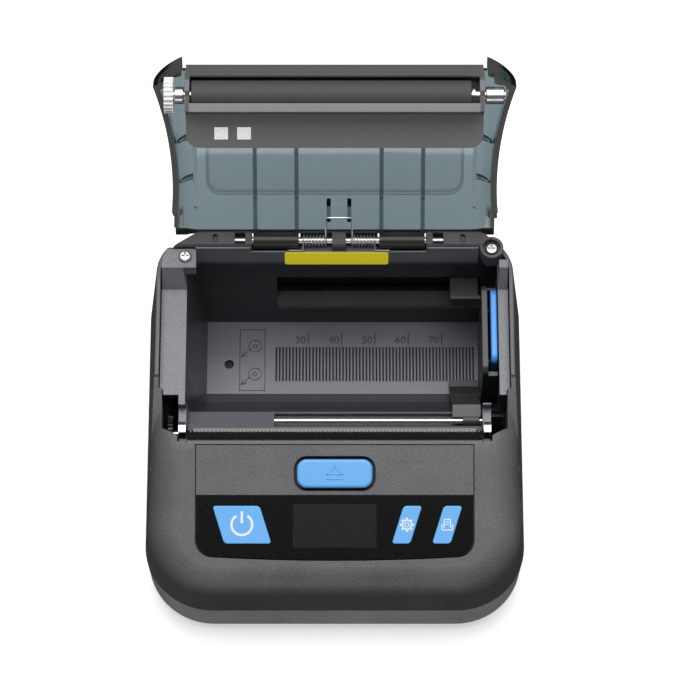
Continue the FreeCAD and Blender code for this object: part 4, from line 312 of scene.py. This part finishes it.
def polished(name, base, ledge, level, floor):
    """Moulded plastic, textured above a level and polished below it.

    The floor and the front lip are painted paler than the walls as a painted sheen, and the grooves
    and the front slope are painted darker as painted shade.
    """
    finish = Finish(name, IOR=1.58)
    height = finish.along(Z_AXIS)
    sparks = finish.noise(0.4 * MM, 3)
    clouds = finish.noise(14 * MM, 2)
    upper = finish.step(height, level - 0.3 * MM, level - 0.05 * MM)
    # Painted shade: mask of the grooves below the floor, which are darkened.
    groove_shade = 1 - finish.step(height, floor - 0.25 * MM, floor - 0.1 * MM)
    # Painted sheen: mask of the flat floor, which gets a paler colour.
    floor_sheen = finish.step(height, floor - 0.1 * MM, floor - 0.05 * MM) * (
        1 - finish.step(height, floor + 0.05 * MM, floor + 0.12 * MM))
    back = finish.along(Y_AXIS)
    behind_lip = finish.step(back, 0, 0.4 * MM)
    # Painted shade: mask of the front slope, which is darkened.
    slope_shade = behind_lip * (1 - finish.step(back, SLOPE_REAR, SLOPE_REAR + 0.6 * MM))
    walls = finish.mix(0.65 * sparks + 0.35 * clouds, scaled(base, 0.8), scaled(base, 1.2))
    # Painted sheen: paler copies of the base colour for the floor and the front lip.
    pale = finish.mix(clouds, scaled(base, 2.4), scaled(base, 3.0))
    lip = finish.mix(sparks, scaled(base, 1.8), scaled(base, 2.4))
    rim = finish.mix(0.8 * sparks + 0.2 * clouds, scaled(ledge, 0.2), scaled(ledge, 1.8))
    tone = finish.mix(floor_sheen, walls, pale)
    tone = finish.mix(slope_shade * (1 - floor_sheen), tone, scaled(base, 0.4))
    tone = finish.mix(1 - behind_lip, tone, lip)
    tone = finish.mix(upper, tone, rim)
    finish.feed("Base Color", finish.mix(groove_shade, tone, scaled(base, 0.15)))
    finish.feed("Roughness", 0.26 + 0.16 * clouds + 0.14 * upper + 0.4 * groove_shade)
    finish.bump(sparks * (0.15 + 0.85 * upper), 0.03 * MM, 1.0, 0.2 * MM)
    return finish.material


def satin(name, base, rough=0.38, rounding=0.25):
    """Smooth satin plastic with faint flow marks."""
    finish = Finish(name, IOR=1.5)
    flow = finish.noise(6 * MM, 3, (0.3, 1, 1))
    grain = finish.noise(0.25 * MM, 2)
    finish.shade(base, 0.5 * flow + 0.5 * grain, 0.08)
    finish.feed("Roughness", (rough - 0.08) + 0.16 * flow)
    finish.bump(grain, 0.004 * MM, 1.0, rounding * MM)
    return finish.material


def metal(name, base, rough=0.2, grain=(0.02, 1, 1), spread=0.1):
    """Drawn or turned metal: fine streaks that run along one axis."""
    finish = Finish(name, Metallic=1.0)
    streaks = finish.noise(0.12 * MM, 4, grain)
    stains = finish.noise(4 * MM, 3)
    finish.shade(base, 0.5 * streaks + 0.5 * stains, spread)
    finish.feed("Roughness", (rough - 0.05) + 0.1 * streaks + 0.05 * stains)
    finish.bump(streaks, 0.002 * MM)
    return finish.material


def rubber(name, base):
    """Ground rubber: dull, with a very fine grain round the roller."""
    finish = Finish(name, IOR=1.5, Specular_IOR_Level=0.35)
    grain = finish.noise(0.2 * MM, 4, (1, 0.4, 0.4))
    dust = finish.noise(2.2 * MM, 5)
    finish.shade(base, 0.6 * grain + 0.4 * dust, 0.2)
    finish.feed("Roughness", 0.55 + 0.2 * grain)
    finish.bump(grain, 0.01 * MM)
    return finish.material


def film(name, base, rough=0.2, painted_glow=0.0):
    """Glossy printed film or window with a faint orange peel, and a painted glow where one is given.
    """
    finish = Finish(name, IOR=1.5, Coat_Weight=0.3, Coat_Roughness=0.08,
                    Emission_Color=(*base, 1), Emission_Strength=painted_glow)
    peel = finish.noise(1.1 * MM, 2)
    dust = finish.noise(0.3 * MM, 2)
    finish.shade(base, dust, 0.15)
    finish.feed("Roughness", (rough - 0.05) + 0.1 * peel)
    finish.bump(peel, 0.002 * MM)
    return finish.material


def framed(finish, up, window):
    """Masks of the window in the lid: its inside, and the line round it where the bead's shadow is
    painted.
    """
    half_width, low, high, corner = window
    spot = finish.add("ShaderNodeCombineXYZ", None,
                      {0: finish.along(X_AXIS), 1: up - (low + high) / 2})
    spot = finish.vector("ABSOLUTE", spot)
    spot = finish.vector("SUBTRACT", spot, (half_width - corner, (high - low) / 2 - corner, 0))
    spot = finish.vector("MAXIMUM", spot, (0, 0, 0))
    beyond = finish.vector("LENGTH", spot) - corner
    inside = 1 - finish.step(beyond, -0.3 * MM, 0)
    outer_side = 1 - finish.step(beyond, -0.2 * MM, 0.1 * MM)
    return inside, finish.step(beyond, -1.2 * MM, -0.9 * MM) * outer_side


def smoky(name, through, edge, rim, front, window):
    """Clear tinted plastic, darker in the window and lighter round it as a painted reflection, with
    a painted shadow line along the bead that frames it.

    The wings' lower edge, the barrels, the rear corners and the front horns are dull and dark.
    """
    wall = 1.7 * MM
    deep = 0.3
    finish = Finish(name, IOR=1.49, Transmission_Weight=1.0)
    tint = tuple(1 + deep * math.log(part) / 2 for part in through)
    depth = finish.add("ShaderNodeVolumeAbsorption", None,
                       {"Color": (*tint, 1), "Density": 2 / wall})
    finish.tree.links.new(depth.socket, finish.output.inputs["Volume"])
    haze = finish.noise(3 * MM, 3)
    skin = tuple(part ** (1 - deep) for part in through)
    finish.feed("Roughness", 0.03 + 0.06 * haze)
    up = finish.along(LID_ALONG, HINGE)
    inside, bead_shadow = framed(finish, up, window)
    # Painted reflection: the wall round the window is tinted lighter than the window.
    skin = finish.mix(inside, scaled(skin, 1.06), scaled(skin, 0.86))
    # Painted shadow: a darker line along the bead round the window.
    skin = finish.mix(0.45 * bead_shadow + 0.1 * haze, skin, scaled(through, 0.5))
    finish.feed("Base Color", skin)
    from_axis = finish.vector("MULTIPLY", finish.vector("SUBTRACT", finish.place, HINGE), (0, 1, 1))
    around = finish.vector("LENGTH", from_axis)
    barrel = 1 - finish.step(around, BARREL_RADIUS, BARREL_RADIUS + 0.2 * MM)
    grain = finish.noise(0.4 * MM, 3)
    tone = finish.mix(grain, scaled(edge, 0.85), scaled(edge, 1.15))
    tone = finish.mix(barrel, tone, scaled(edge, 0.3))
    dull = finish.add("ShaderNodeBsdfPrincipled", None, {"Base Color": tone, "Roughness": 0.42})
    across = finish.along(X_AXIS).math("ABSOLUTE", 0)
    near_hinge = 1 - finish.step(up, CORNER_REACH, CORNER_REACH + 3 * MM)
    rear_corner = finish.step(across, CORNER_INNER, CORNER_INNER + 2.5 * MM) * near_hinge
    horn = finish.step(up, front - HORN_DEPTH, front - HORN_DEPTH + 1.4 * MM)
    share = finish.step(finish.along(LID_INSIDE, HINGE), rim - 0.1 * MM, rim)
    for other in (barrel, rear_corner, horn):
        share = share.math("MAXIMUM", other)
    clear = Wire(finish, finish.shader.outputs[0])
    blend = finish.add("ShaderNodeMixShader", None, {0: share, 1: clear, 2: dull})
    finish.tree.links.new(blend.socket, finish.output.inputs["Surface"])
    return finish.material


def toothed(name, base, direction, level):
    """Steel strip, very dark up to a level and brighter on the teeth beyond it."""
    finish = Finish(name, Metallic=1.0)
    streaks = finish.noise(0.12 * MM, 4, (0.05, 1, 1))
    bright = finish.step(finish.along(direction), level, level + 0.1 * MM)
    finish.feed("Base Color", finish.mix(bright, scaled(base, 0.05), tuple(base)))
    finish.feed("Roughness", 0.45 - 0.2 * bright + 0.1 * streaks)
    finish.bump(streaks, 0.003 * MM)
    return finish.material


def two_tone(name, front, back, direction, level, rough=0.35):
    """Satin plastic of one colour beyond a level along a direction, and of another below it."""
    finish = Finish(name, IOR=1.5)
    grain = finish.noise(0.25 * MM, 2)
    share = finish.step(finish.along(direction), level - 0.05 * MM, level + 0.05 * MM)
    tone = finish.mix(share, tuple(back), tuple(front))
    finish.feed("Base Color", finish.mix(0.12 * grain, tone, scaled(front, 0.4)))
    finish.feed("Roughness", (rough - 0.05) + 0.1 * grain)
    finish.bump(grain, 0.004 * MM, 1.0, 0.25 * MM)
    return finish.material


def nylon(name, base):
    """White nylon: slightly translucent, with a soft gloss."""
    finish = Finish(name, Subsurface_Weight=0.25, Subsurface_Scale=0.6 * MM)
    grain = finish.noise(0.3 * MM, 2)
    finish.shade(base, grain, 0.04)
    finish.feed("Roughness", 0.35 + 0.15 * grain)
    finish.bump(grain, 0.004 * MM)
    return finish.material


def clear_window(name):
    """Clear sensor window painted bright: a pale base and a glow stand in for its highlights, and
    the facets vary that painted brightness.
    """
    finish = Finish(name, IOR=1.49, Coat_Weight=0.6, Coat_Roughness=0.05,
                    Emission_Color=(1, 1, 1, 1), Emission_Strength=WINDOW_PAINTED_LIGHT)
    facets = finish.noise(1.6 * MM, 2)
    finish.shade((0.9, 0.9, 0.9), facets, 0.3)
    finish.feed("Roughness", 0.12 + 0.3 * facets)
    finish.feed("Metallic", 0.2 * facets)
    finish.bump(facets, 0.1 * MM)
    return finish.material


def board(name, base):
    """Circuit board lacquer over copper traces."""
    finish = Finish(name, Coat_Weight=0.4)
    traces = finish.noise(0.9 * MM, 2, (1, 0.2, 1))
    finish.shade(base, traces, 0.35)
    finish.feed("Roughness", 0.3 + 0.2 * traces)
    return finish.material


def dress(material, *nodes):
    """Give CAD nodes a finish."""
    for node in nodes:
        slots = frame["nodes"][node].data.materials
        slots.clear()
        slots.append(material)


def turned(normal):
    """A frame's turn: X is the world's, Z is this direction."""
    up = Vector(normal).normalized()
    side = Vector(X_AXIS)
    return Matrix((side, up.cross(side), up)).transposed().to_4x4()


def seat(node, normal):
    """A frame on a CAD node: in the middle of its outline, on its top along a direction."""
    turn = turned(normal)
    spots = [turn.inverted() @ vertex.co for vertex in frame["nodes"][node].data.vertices]
    low = Vector([min(part) for part in zip(*spots)])
    high = Vector([max(part) for part in zip(*spots)])
    middle = (low + high) / 2
    return turn @ Matrix.Translation((middle.x, middle.y, high.z))


def bar(bm, middle, size, turn=0.0):
    """A block round a point on the ground plane, turned about Z and standing on the plane."""
    place = Matrix.Translation((middle[0], middle[1], size[2] / 2)) @ Matrix.Rotation(turn, 4, "Z")
    bmesh.ops.create_cube(bm, size=1, matrix=place @ Matrix.Diagonal((*size, 1)))


def line(bm, start, stop, width, height):
    """A straight raised line between two points of the ground plane."""
    run = Vector(stop) - Vector(start)
    middle = (Vector(start) + Vector(stop)) / 2
    bar(bm, middle, (run.length + width * 0.5, width, height), math.atan2(run.y, run.x))


def ring(bm, middle, radius, width, height, start=0.0, sweep=math.tau):
    """A raised band round a point: a small upright section spun about Z."""
    pivot = Vector((middle[0], middle[1], 0))
    section = (Matrix.Translation(pivot) @ Matrix.Rotation(start, 4, "Z")
               @ Matrix.Translation((radius, 0, height / 2)) @ Matrix.Rotation(math.pi / 2, 4, "X")
               @ Matrix.Diagonal((width, height, 1, 1)))
    made = bmesh.ops.create_grid(bm, x_segments=1, y_segments=1, size=0.5, matrix=section)
    faces = list({face for vertex in made["verts"] for face in vertex.link_faces})
    edges = list({edge for face in faces for edge in face.edges})
    whole = sweep > math.tau - 1e-6
    if whole:
        bmesh.ops.delete(bm, geom=faces, context="FACES_ONLY")
        faces = []
    bmesh.ops.spin(bm, geom=made["verts"] + edges + faces, cent=pivot, axis=(0, 0, 1), angle=sweep,
                   steps=max(8, int(sweep * 9)), use_merge=whole)


def write(bm, text, place, size, height):
    """Raised plain digits that end at a point of the ground plane."""
    words = bpy.data.curves.new("digits", "FONT")
    words.body = text
    words.size = size
    words.align_x = "RIGHT"
    words.extrude = height / 2
    holder = bpy.data.objects.new("digits", words)
    mesh = bpy.data.meshes.new_from_object(holder)
    mesh.transform(Matrix.Translation((place[0], place[1], height / 2)))
    bm.from_mesh(mesh)
    bpy.data.objects.remove(holder)
    bpy.data.meshes.remove(mesh)


def add_piece(bm, name, place, material, body, smooth=35):
    """Turn a bmesh into a piece that rides on a body, with its place in its mesh."""
    bmesh.ops.recalc_face_normals(bm, faces=bm.faces)
    mesh = bpy.data.meshes.new(name)
    bm.to_mesh(mesh)
    bm.free()
    mesh.transform(place)
    mesh.shade_smooth()
    mesh.set_sharp_from_angle(angle=math.radians(smooth))
    mesh.materials.append(material)
    piece = bpy.data.objects.new(name, mesh)
    bpy.context.scene.collection.objects.link(piece)
    if body:
        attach(piece, body)
    return piece


def aim(place, target):
    """The turn of a light or a camera that looks from a place at a target."""
    return (target - place).to_track_quat("-Z", "Y").to_euler()


class PRINTER_OT_case(bpy.types.Operator):
    """Finish the two halves of the case and the plate in the deck"""

    bl_idname = "printer.case"
    bl_label = "Case and deck"

    def execute(self, context):
        colours = context.scene.printer_colours
        dress(moulded("spark_grey", colours.case), "upper_case", "control_plate")
        dress(moulded("band_grey", colours.band, 0.42), "lower_case", "battery_cover")
        dress(metal("case_screw_steel", scaled(colours.steel, 0.5), 0.32, NO_GRAIN),
              "case_screws", "panel_screws")
        dress(metal("socket_steel", colours.steel, 0.3), "charging_socket")
        return {"FINISHED"}


class PRINTER_OT_bay(bpy.types.Operator):
    """Finish the roll bay and mould its ruler and loading sign"""

    bl_idname = "printer.bay"
    bl_label = "Roll bay"

    def execute(self, context):
        colours = context.scene.printer_colours
        sizes = context.scene.printer_sizes
        level = self.level_at(*FLOOR_SPOT)
        ledge = self.level_at(*LEDGE_SPOT)
        floor = Matrix.Translation((0, 0, level))
        finish = polished("bay_grey", colours.bay, colours.ledge, ledge, level)
        dress(finish, "roll_bay")
        self.mould_ruler(sizes, finish, floor)
        self.mould_sign(sizes, finish, floor)
        # The label glows as painted light.
        dress(film("blank_label", colours.label, 0.35, LABEL_PAINTED_LIGHT), "rear_label")
        return {"FINISHED"}

    def level_at(self, across, back):
        """Height of the bay's moulding at a place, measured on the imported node."""
        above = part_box("roll_bay")[1][2] + 10 * MM
        hit, spot, _, _ = frame["nodes"]["roll_bay"].ray_cast((across, back, above), (0, 0, -1))
        if not hit:
            raise RuntimeError(f"the bay has nothing at {across}, {back}")
        return spot.z

    def mould_ruler(self, sizes, finish, floor):
        """Ticks with a plain number at the left of each."""
        bm = bmesh.new()
        for step in range(sizes.ruler_count):
            across = sizes.ruler_first + step * sizes.ruler_step
            number = sizes.ruler_start + step * round(sizes.ruler_step / MM)
            middle = (across, sizes.ruler_front + sizes.tick_length / 2)
            bar(bm, middle, (sizes.line_width, sizes.tick_length, sizes.mark_height))
            write(bm, str(number), (across - 0.7 * MM, sizes.ruler_front + 0.4 * MM),
                  sizes.digit_height, sizes.mark_height)
        add_piece(bm, "bay_ruler", floor, finish, "base")

    def mould_sign(self, sizes, finish, floor):
        """A framed pair of plain rolls with an arrow each, one above the other."""
        bm = bmesh.new()
        left = sizes.sign_left
        right = left + sizes.sign_width
        front = sizes.sign_front
        rear = front + sizes.sign_depth
        thin = sizes.line_width * 0.7
        corners = [(left, front), (right, front), (right, rear), (left, rear)]
        for start, stop in zip(corners, corners[1:] + corners[:1]):
            line(bm, start, stop, thin, sizes.mark_height)
        for share in SIGN_SHARES:
            centre = Vector(((left + right) / 2 + 0.8 * MM, front + sizes.sign_depth * share))
            for radius in ROLL_RADII:
                ring(bm, centre, radius * MM, thin, sizes.mark_height)
            tip = centre + ARROW_TIP * MM
            line(bm, centre + ARROW_START * MM, tip, thin, sizes.mark_height)
            for barb in ARROW_BARBS:
                line(bm, tip, tip + barb * MM, thin, sizes.mark_height)
        add_piece(bm, "bay_loading_sign", floor, finish, "base")


class PRINTER_OT_hinge(bpy.types.Operator):
    """Finish the hinge bar, its pins and screws, and wind the lid's spring"""

    bl_idname = "printer.hinge"
    bl_label = "Hinge and spring"

    def execute(self, context):
        colours = context.scene.printer_colours
        sizes = context.scene.printer_sizes
        dress(moulded("hinge_grey", colours.hinge, 0.45, 0.35), "hinge_bar")
        dress(metal("pin_steel", colours.steel, 0.32),
              "hinge_pins", "guide_rod", "latch_shaft", "head_pin", "gear_axles")
        dress(metal("screw_steel", scaled(colours.steel, 0.75), 0.34, NO_GRAIN), "frame_screws")
        wire = metal("spring_steel", scaled(colours.steel, 1.15), 0.34, NO_GRAIN)
        dress(wire, "lid_spring", "head_spring")
        for name, side in (("lid_spring_left", -1), ("lid_spring_right", 1)):
            self.wind_half(sizes, wire, name, side)
        return {"FINISHED"}

    def wind_half(self, sizes, wire, name, side):
        """One leg, one coil and half of the loop, as a single tube."""
        out = Vector((side, 0, 0))
        outer = sizes.coil_inner + sizes.coil_turns * sizes.coil_pitch
        bm = self.draw_wire(name, self.wire_path(sizes, out, outer), sizes.wire)
        piece = add_piece(bm, name, Matrix.Identity(4), wire, None)
        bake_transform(piece)
        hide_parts("lid_spring")

    def wire_path(self, sizes, out, outer):
        """Points from the end of the leg, round the coil and up to the middle of the loop."""
        up = LID_ALONG
        steps = 14
        bend = sizes.wire * 2
        first = out * outer + LID_INSIDE * sizes.coil_radius
        foot = first - up * sizes.leg_reach
        points = [foot + out * (sizes.leg_turn + bend), foot + out * bend, foot, foot + up * bend]
        for step in range(sizes.coil_turns * steps + 1):
            angle = step / steps * math.tau
            along = outer - step / steps * sizes.coil_pitch
            spoke = up * math.sin(angle) + LID_INSIDE * math.cos(angle)
            points.append(out * along + spoke * sizes.coil_radius)
        last = points[-1]
        top = last + up * sizes.loop_reach
        points += [top - up * bend, top, top - out * bend, Vector((0, top.y, top.z))]
        return [HINGE + point for point in points]

    def draw_wire(self, name, points, thickness):
        """A round tube along smooth points, as a bmesh."""
        curve = bpy.data.curves.new(name, "CURVE")
        curve.dimensions = "3D"
        curve.bevel_depth = thickness / 2
        curve.bevel_resolution = 3
        curve.use_fill_caps = True
        spline = curve.splines.new("NURBS")
        spline.points.add(len(points) - 1)
        for point, spot in zip(spline.points, points):
            point.co = (*spot, 1)
        spline.order_u = 3
        spline.use_endpoint_u = True
        spline.resolution_u = 2
        holder = bpy.data.objects.new(name + "_path", curve)
        mesh = bpy.data.meshes.new_from_object(holder)
        bpy.data.objects.remove(holder)
        bm = bmesh.new()
        bm.from_mesh(mesh)
        bpy.data.meshes.remove(mesh)
        bmesh.ops.remove_doubles(bm, verts=bm.verts, dist=0.01 * MM)
        return bm


class PRINTER_OT_lid(bpy.types.Operator):
    """Finish the smoky lid"""

    bl_idname = "printer.lid"
    bl_label = "Smoky lid"

    def execute(self, context):
        colours = context.scene.printer_colours
        sizes = context.scene.printer_sizes
        shell = frame["nodes"]["lid_shell"].data
        rim = max((vertex.co - HINGE).dot(LID_INSIDE) for vertex in shell.vertices) - RIM_DEPTH
        front = max((vertex.co - HINGE).dot(LID_ALONG) for vertex in shell.vertices)
        window = (sizes.window_half, sizes.window_low, sizes.window_high, sizes.window_corner)
        dress(smoky("smoky_clear", colours.smoke, colours.lid_edge, rim, front, window), "lid_shell")
        return {"FINISHED"}


class PRINTER_OT_platen(bpy.types.Operator):
    """Finish the feed roller, its carrier, bushes and gears"""

    bl_idname = "printer.platen"
    bl_label = "Feed roller"

    def execute(self, context):
        colours = context.scene.printer_colours
        lip = HINGE.dot(LID_ALONG) + CARRIER_LIP
        dark, pale = scaled(colours.carrier, 0.62), scaled(colours.carrier, 1.15)
        dress(two_tone("carrier_grey", dark, pale, LID_ALONG, lip, 0.42), "roller_carrier")
        dress(rubber("roller_rubber", colours.rubber), "platen_rubber")
        dress(nylon("white_nylon", colours.nylon), "platen_gear")
        dress(satin("dark_acetal", colours.acetal, 0.4), "drive_gear", "reduction_gear")
        dress(metal("shaft_steel", colours.steel, 0.24, (1, 0.02, 0.02)), "platen_shaft")
        dress(metal("bush_steel", colours.steel, 0.28, (1, 0.05, 0.05)), "bush_left", "bush_right")
        dress(metal("gear_brass", (0.75, 0.55, 0.22), 0.25), "motor_pinion")
        dress(clear_window("sensor_clear"), "sensor_windows")
        return {"FINISHED"}


class PRINTER_OT_panel(bpy.types.Operator):
    """Finish the control panel and print the keys' marks"""

    bl_idname = "printer.panel"
    bl_label = "Control panel"

    def execute(self, context):
        colours = context.scene.printer_colours
        sizes = context.scene.printer_sizes
        dress(film("overlay_black", colours.overlay, 0.16), "control_overlay")
        dress(film("display_dark", colours.display, 0.22), "display_window")
        key = satin("key_blue", colours.key, 0.36)
        dress(key, "power_key", "settings_key", "feed_key")
        plate = frame["nodes"]["control_plate"].data
        deck = max(vertex.co.dot(DECK_NORMAL) for vertex in plate.vertices)
        # Painted shade: below the deck the button's sides take the dark acetal colour, as the shade
        # in the groove round it.
        dress(two_tone("button_blue", colours.key, colours.acetal, DECK_NORMAL, deck - 0.1 * MM),
              "open_button")
        ink = film("key_ink", colours.ink, 0.4)
        self.print_power(sizes, ink)
        self.print_gear(sizes, ink)
        self.print_page(sizes, ink)
        self.mould_open_mark(sizes, key)
        return {"FINISHED"}

    def print_power(self, sizes, ink):
        """A broken ring with a bar in its gap."""
        bm = bmesh.new()
        stroke = sizes.power_stroke
        radius = sizes.power_radius
        gap = math.radians(32)
        ring(bm, (0, 0), radius, stroke, sizes.ink_height, math.pi / 2 + gap, math.tau - 2 * gap)
        bar(bm, (0, radius * 0.72), (stroke, radius * 1.15, sizes.ink_height))
        add_piece(bm, "power_sign", seat("power_key", DECK_NORMAL), ink, "power_key")

    def print_gear(self, sizes, ink):
        """A small gear wheel: a ring with eight stubs round a dot."""
        bm = bmesh.new()
        stroke = sizes.gear_stroke
        teeth = 8
        ring(bm, (0, 0), sizes.gear_radius, stroke, sizes.ink_height)
        ring(bm, (0, 0), sizes.gear_radius * 0.42, stroke * 0.7, sizes.ink_height)
        for tooth in range(teeth):
            angle = tooth / teeth * math.tau
            away = Vector((math.cos(angle), math.sin(angle))) * (sizes.gear_radius + stroke)
            bar(bm, away, (stroke * 1.6, stroke * 1.5, sizes.ink_height), angle)
        add_piece(bm, "settings_sign", seat("settings_key", DECK_NORMAL), ink, "settings_key")

    def print_page(self, sizes, ink):
        """A page with two lines of writing over a tray."""
        bm = bmesh.new()
        stroke = sizes.page_stroke
        half = sizes.page_width / 2
        side = half * 0.6
        page = [(-side, -half * 0.5), (-side, half), (side, half), (side, -half * 0.5)]
        tray = [(-half, 0.0), (-half, -half), (half, -half), (half, 0.0)]
        for points in (page, tray):
            for start, stop in zip(points, points[1:]):
                line(bm, start, stop, stroke, sizes.ink_height)
        for level in (0.05, 0.5):
            line(bm, (-side * 0.5, half * level), (side * 0.5, half * level), stroke * 0.8,
                 sizes.ink_height)
        add_piece(bm, "feed_sign", seat("feed_key", DECK_NORMAL), ink, "feed_key")

    def mould_open_mark(self, sizes, key):
        """A raised plain triangle over a bar on the release button."""
        bm = bmesh.new()
        stroke = sizes.open_stroke
        half = sizes.open_half
        foot = -0.2 * MM
        bar_level = -1.5 * MM
        points = [(-half, foot), (0, 2 * MM), (half, foot)]
        for start, stop in zip(points, points[1:] + points[:1]):
            line(bm, start, stop, stroke, sizes.open_height)
        line(bm, (-half, bar_level), (half, bar_level), stroke * 1.4, sizes.open_height)
        add_piece(bm, "open_sign", seat("open_button", DECK_NORMAL), key, "open_button")


class PRINTER_OT_mechanism(bpy.types.Operator):
    """Finish the blade, latch, guide, print head, drive and electronics"""

    bl_idname = "printer.mechanism"
    bl_label = "Mechanism"

    def execute(self, context):
        colours = context.scene.printer_colours
        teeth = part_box("tear_blade")[1][1] - TOOTH_DEPTH
        dress(toothed("blade_steel", scaled(colours.steel, 0.16), Y_AXIS, teeth), "tear_blade")
        dress(metal("hook_chrome", scaled(colours.steel, 0.95), 0.16, NO_GRAIN),
              "latch_hook_left", "latch_hook_right")
        dress(satin("guide_grey", colours.guide, 0.4), "paper_guide")
        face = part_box("guide_paddle")[1][0] - PADDLE_DEPTH
        dress(two_tone("paddle_blue", colours.paddle, colours.guide, X_AXIS, face), "guide_paddle")
        dress(metal("plate_alloy", (0.6, 0.6, 0.61), 0.35),
              "head_plate", "gear_bracket", "dome_switches")
        dress(film("head_glaze", (0.06, 0.05, 0.045), 0.3), "thermal_head")
        dress(metal("motor_can", (0.5, 0.5, 0.5), 0.4), "feed_motor")
        dress(board("board_green", (0.02, 0.12, 0.05)), "main_board", "key_board")
        dress(satin("chip_black", (0.02, 0.02, 0.021), 0.5), "board_chips", "display_module")
        dress(film("battery_wrap", (0.03, 0.06, 0.16), 0.4), "battery_pack")
        return {"FINISHED"}


class PRINTER_OT_stage(bpy.types.Operator):
    """Lay the pale floor, set the soft lights and stand the camera where the photograph's stood"""

    bl_idname = "printer.stage"
    bl_label = "Studio"

    def execute(self, context):
        self.lay_floor()
        self.set_lights(context.scene)
        self.set_camera(context.scene)
        return {"FINISHED"}

    def lay_floor(self):
        """White paper that lights nothing but is seen, so that the dark case keeps its contrast."""
        bm = bmesh.new()
        bmesh.ops.create_grid(bm, x_segments=1, y_segments=1, size=4)
        mesh = bpy.data.meshes.new("studio_floor")
        bm.to_mesh(mesh)
        bm.free()
        paper = Finish("studio_paper", Specular_IOR_Level=0.2, Emission_Color=(1, 1, 1, 1),
                       Emission_Strength=PAPER_GLOW)
        fibre = paper.noise(2 * MM, 3)
        paper.shade((0.9, 0.9, 0.9), fibre, 0.01)
        paper.feed("Roughness", 0.7 + 0.1 * fibre)
        mesh.materials.append(paper.material)
        floor = bpy.data.objects.new("studio_floor", mesh)
        bpy.context.scene.collection.objects.link(floor)
        floor.visible_diffuse = False
        floor.visible_glossy = False

    def set_lights(self, scene):
        """One large soft light overhead and three weak ones, with a little light from all round."""
        for name, place, size, power in LIGHTS:
            lamp = bpy.data.lights.new(name, "AREA")
            lamp.shape = "RECTANGLE"
            lamp.size, lamp.size_y = size
            lamp.energy = power
            holder = bpy.data.objects.new(name, lamp)
            holder.location = place
            holder.rotation_euler = aim(holder.location, LIGHT_TARGET)
            scene.collection.objects.link(holder)
        world = bpy.data.worlds.new("studio_air")
        world.use_nodes = True
        air = world.node_tree.nodes["Background"].inputs
        air["Color"].default_value = (1, 1, 1, 1)
        air["Strength"].default_value = AIR_LIGHT
        scene.world = world
        scene.view_settings.view_transform = "Standard"

    def set_camera(self, scene):
        """A long lens above the front edge, looking down at the middle of the printer."""
        lens = bpy.data.cameras.new("photo_camera")
        lens.sensor_width = 36
        lens.lens = VIEW_LENS
        lens.clip_start = 0.05
        towards = Vector((0, -math.cos(VIEW_ELEVATION), math.sin(VIEW_ELEVATION)))
        camera = bpy.data.objects.new("photo_camera", lens)
        camera.location = VIEW_TARGET + towards * VIEW_DISTANCE
        camera.rotation_euler = aim(camera.location, VIEW_TARGET)
        scene.collection.objects.link(camera)
        scene.camera = camera


STEPS = (PRINTER_OT_case, PRINTER_OT_bay, PRINTER_OT_hinge, PRINTER_OT_lid, PRINTER_OT_platen,
         PRINTER_OT_panel, PRINTER_OT_mechanism, PRINTER_OT_stage)


class PRINTER_PT_steps(bpy.types.Panel):
    """Lists the steps that dress the printer"""

    bl_idname = "PRINTER_PT_steps"
    bl_label = "Label printer"
    bl_space_type = "VIEW_3D"
    bl_region_type = "UI"
    bl_category = "Printer"

    def draw(self, context):
        for step in STEPS:
            self.layout.operator(step.bl_idname)
        for group in (context.scene.printer_sizes, context.scene.printer_colours):
            for name in group.bl_rna.properties.keys():
                if name not in ("rna_type", "name"):
                    self.layout.prop(group, name)


CLASSES = (PrinterSizes, PrinterColours, *STEPS, PRINTER_PT_steps)


def register():
    for item in CLASSES:
        bpy.utils.register_class(item)
    bpy.types.Scene.printer_sizes = bpy.props.PointerProperty(type=PrinterSizes)
    bpy.types.Scene.printer_colours = bpy.props.PointerProperty(type=PrinterColours)


def unregister():
    del bpy.types.Scene.printer_colours
    del bpy.types.Scene.printer_sizes
    for item in reversed(CLASSES):
        bpy.utils.unregister_class(item)


def main():
    register()
    for step in STEPS:
        family, action = step.bl_idname.split(".")
        getattr(getattr(bpy.ops, family), action)()


if __name__ == "__main__":
    main()
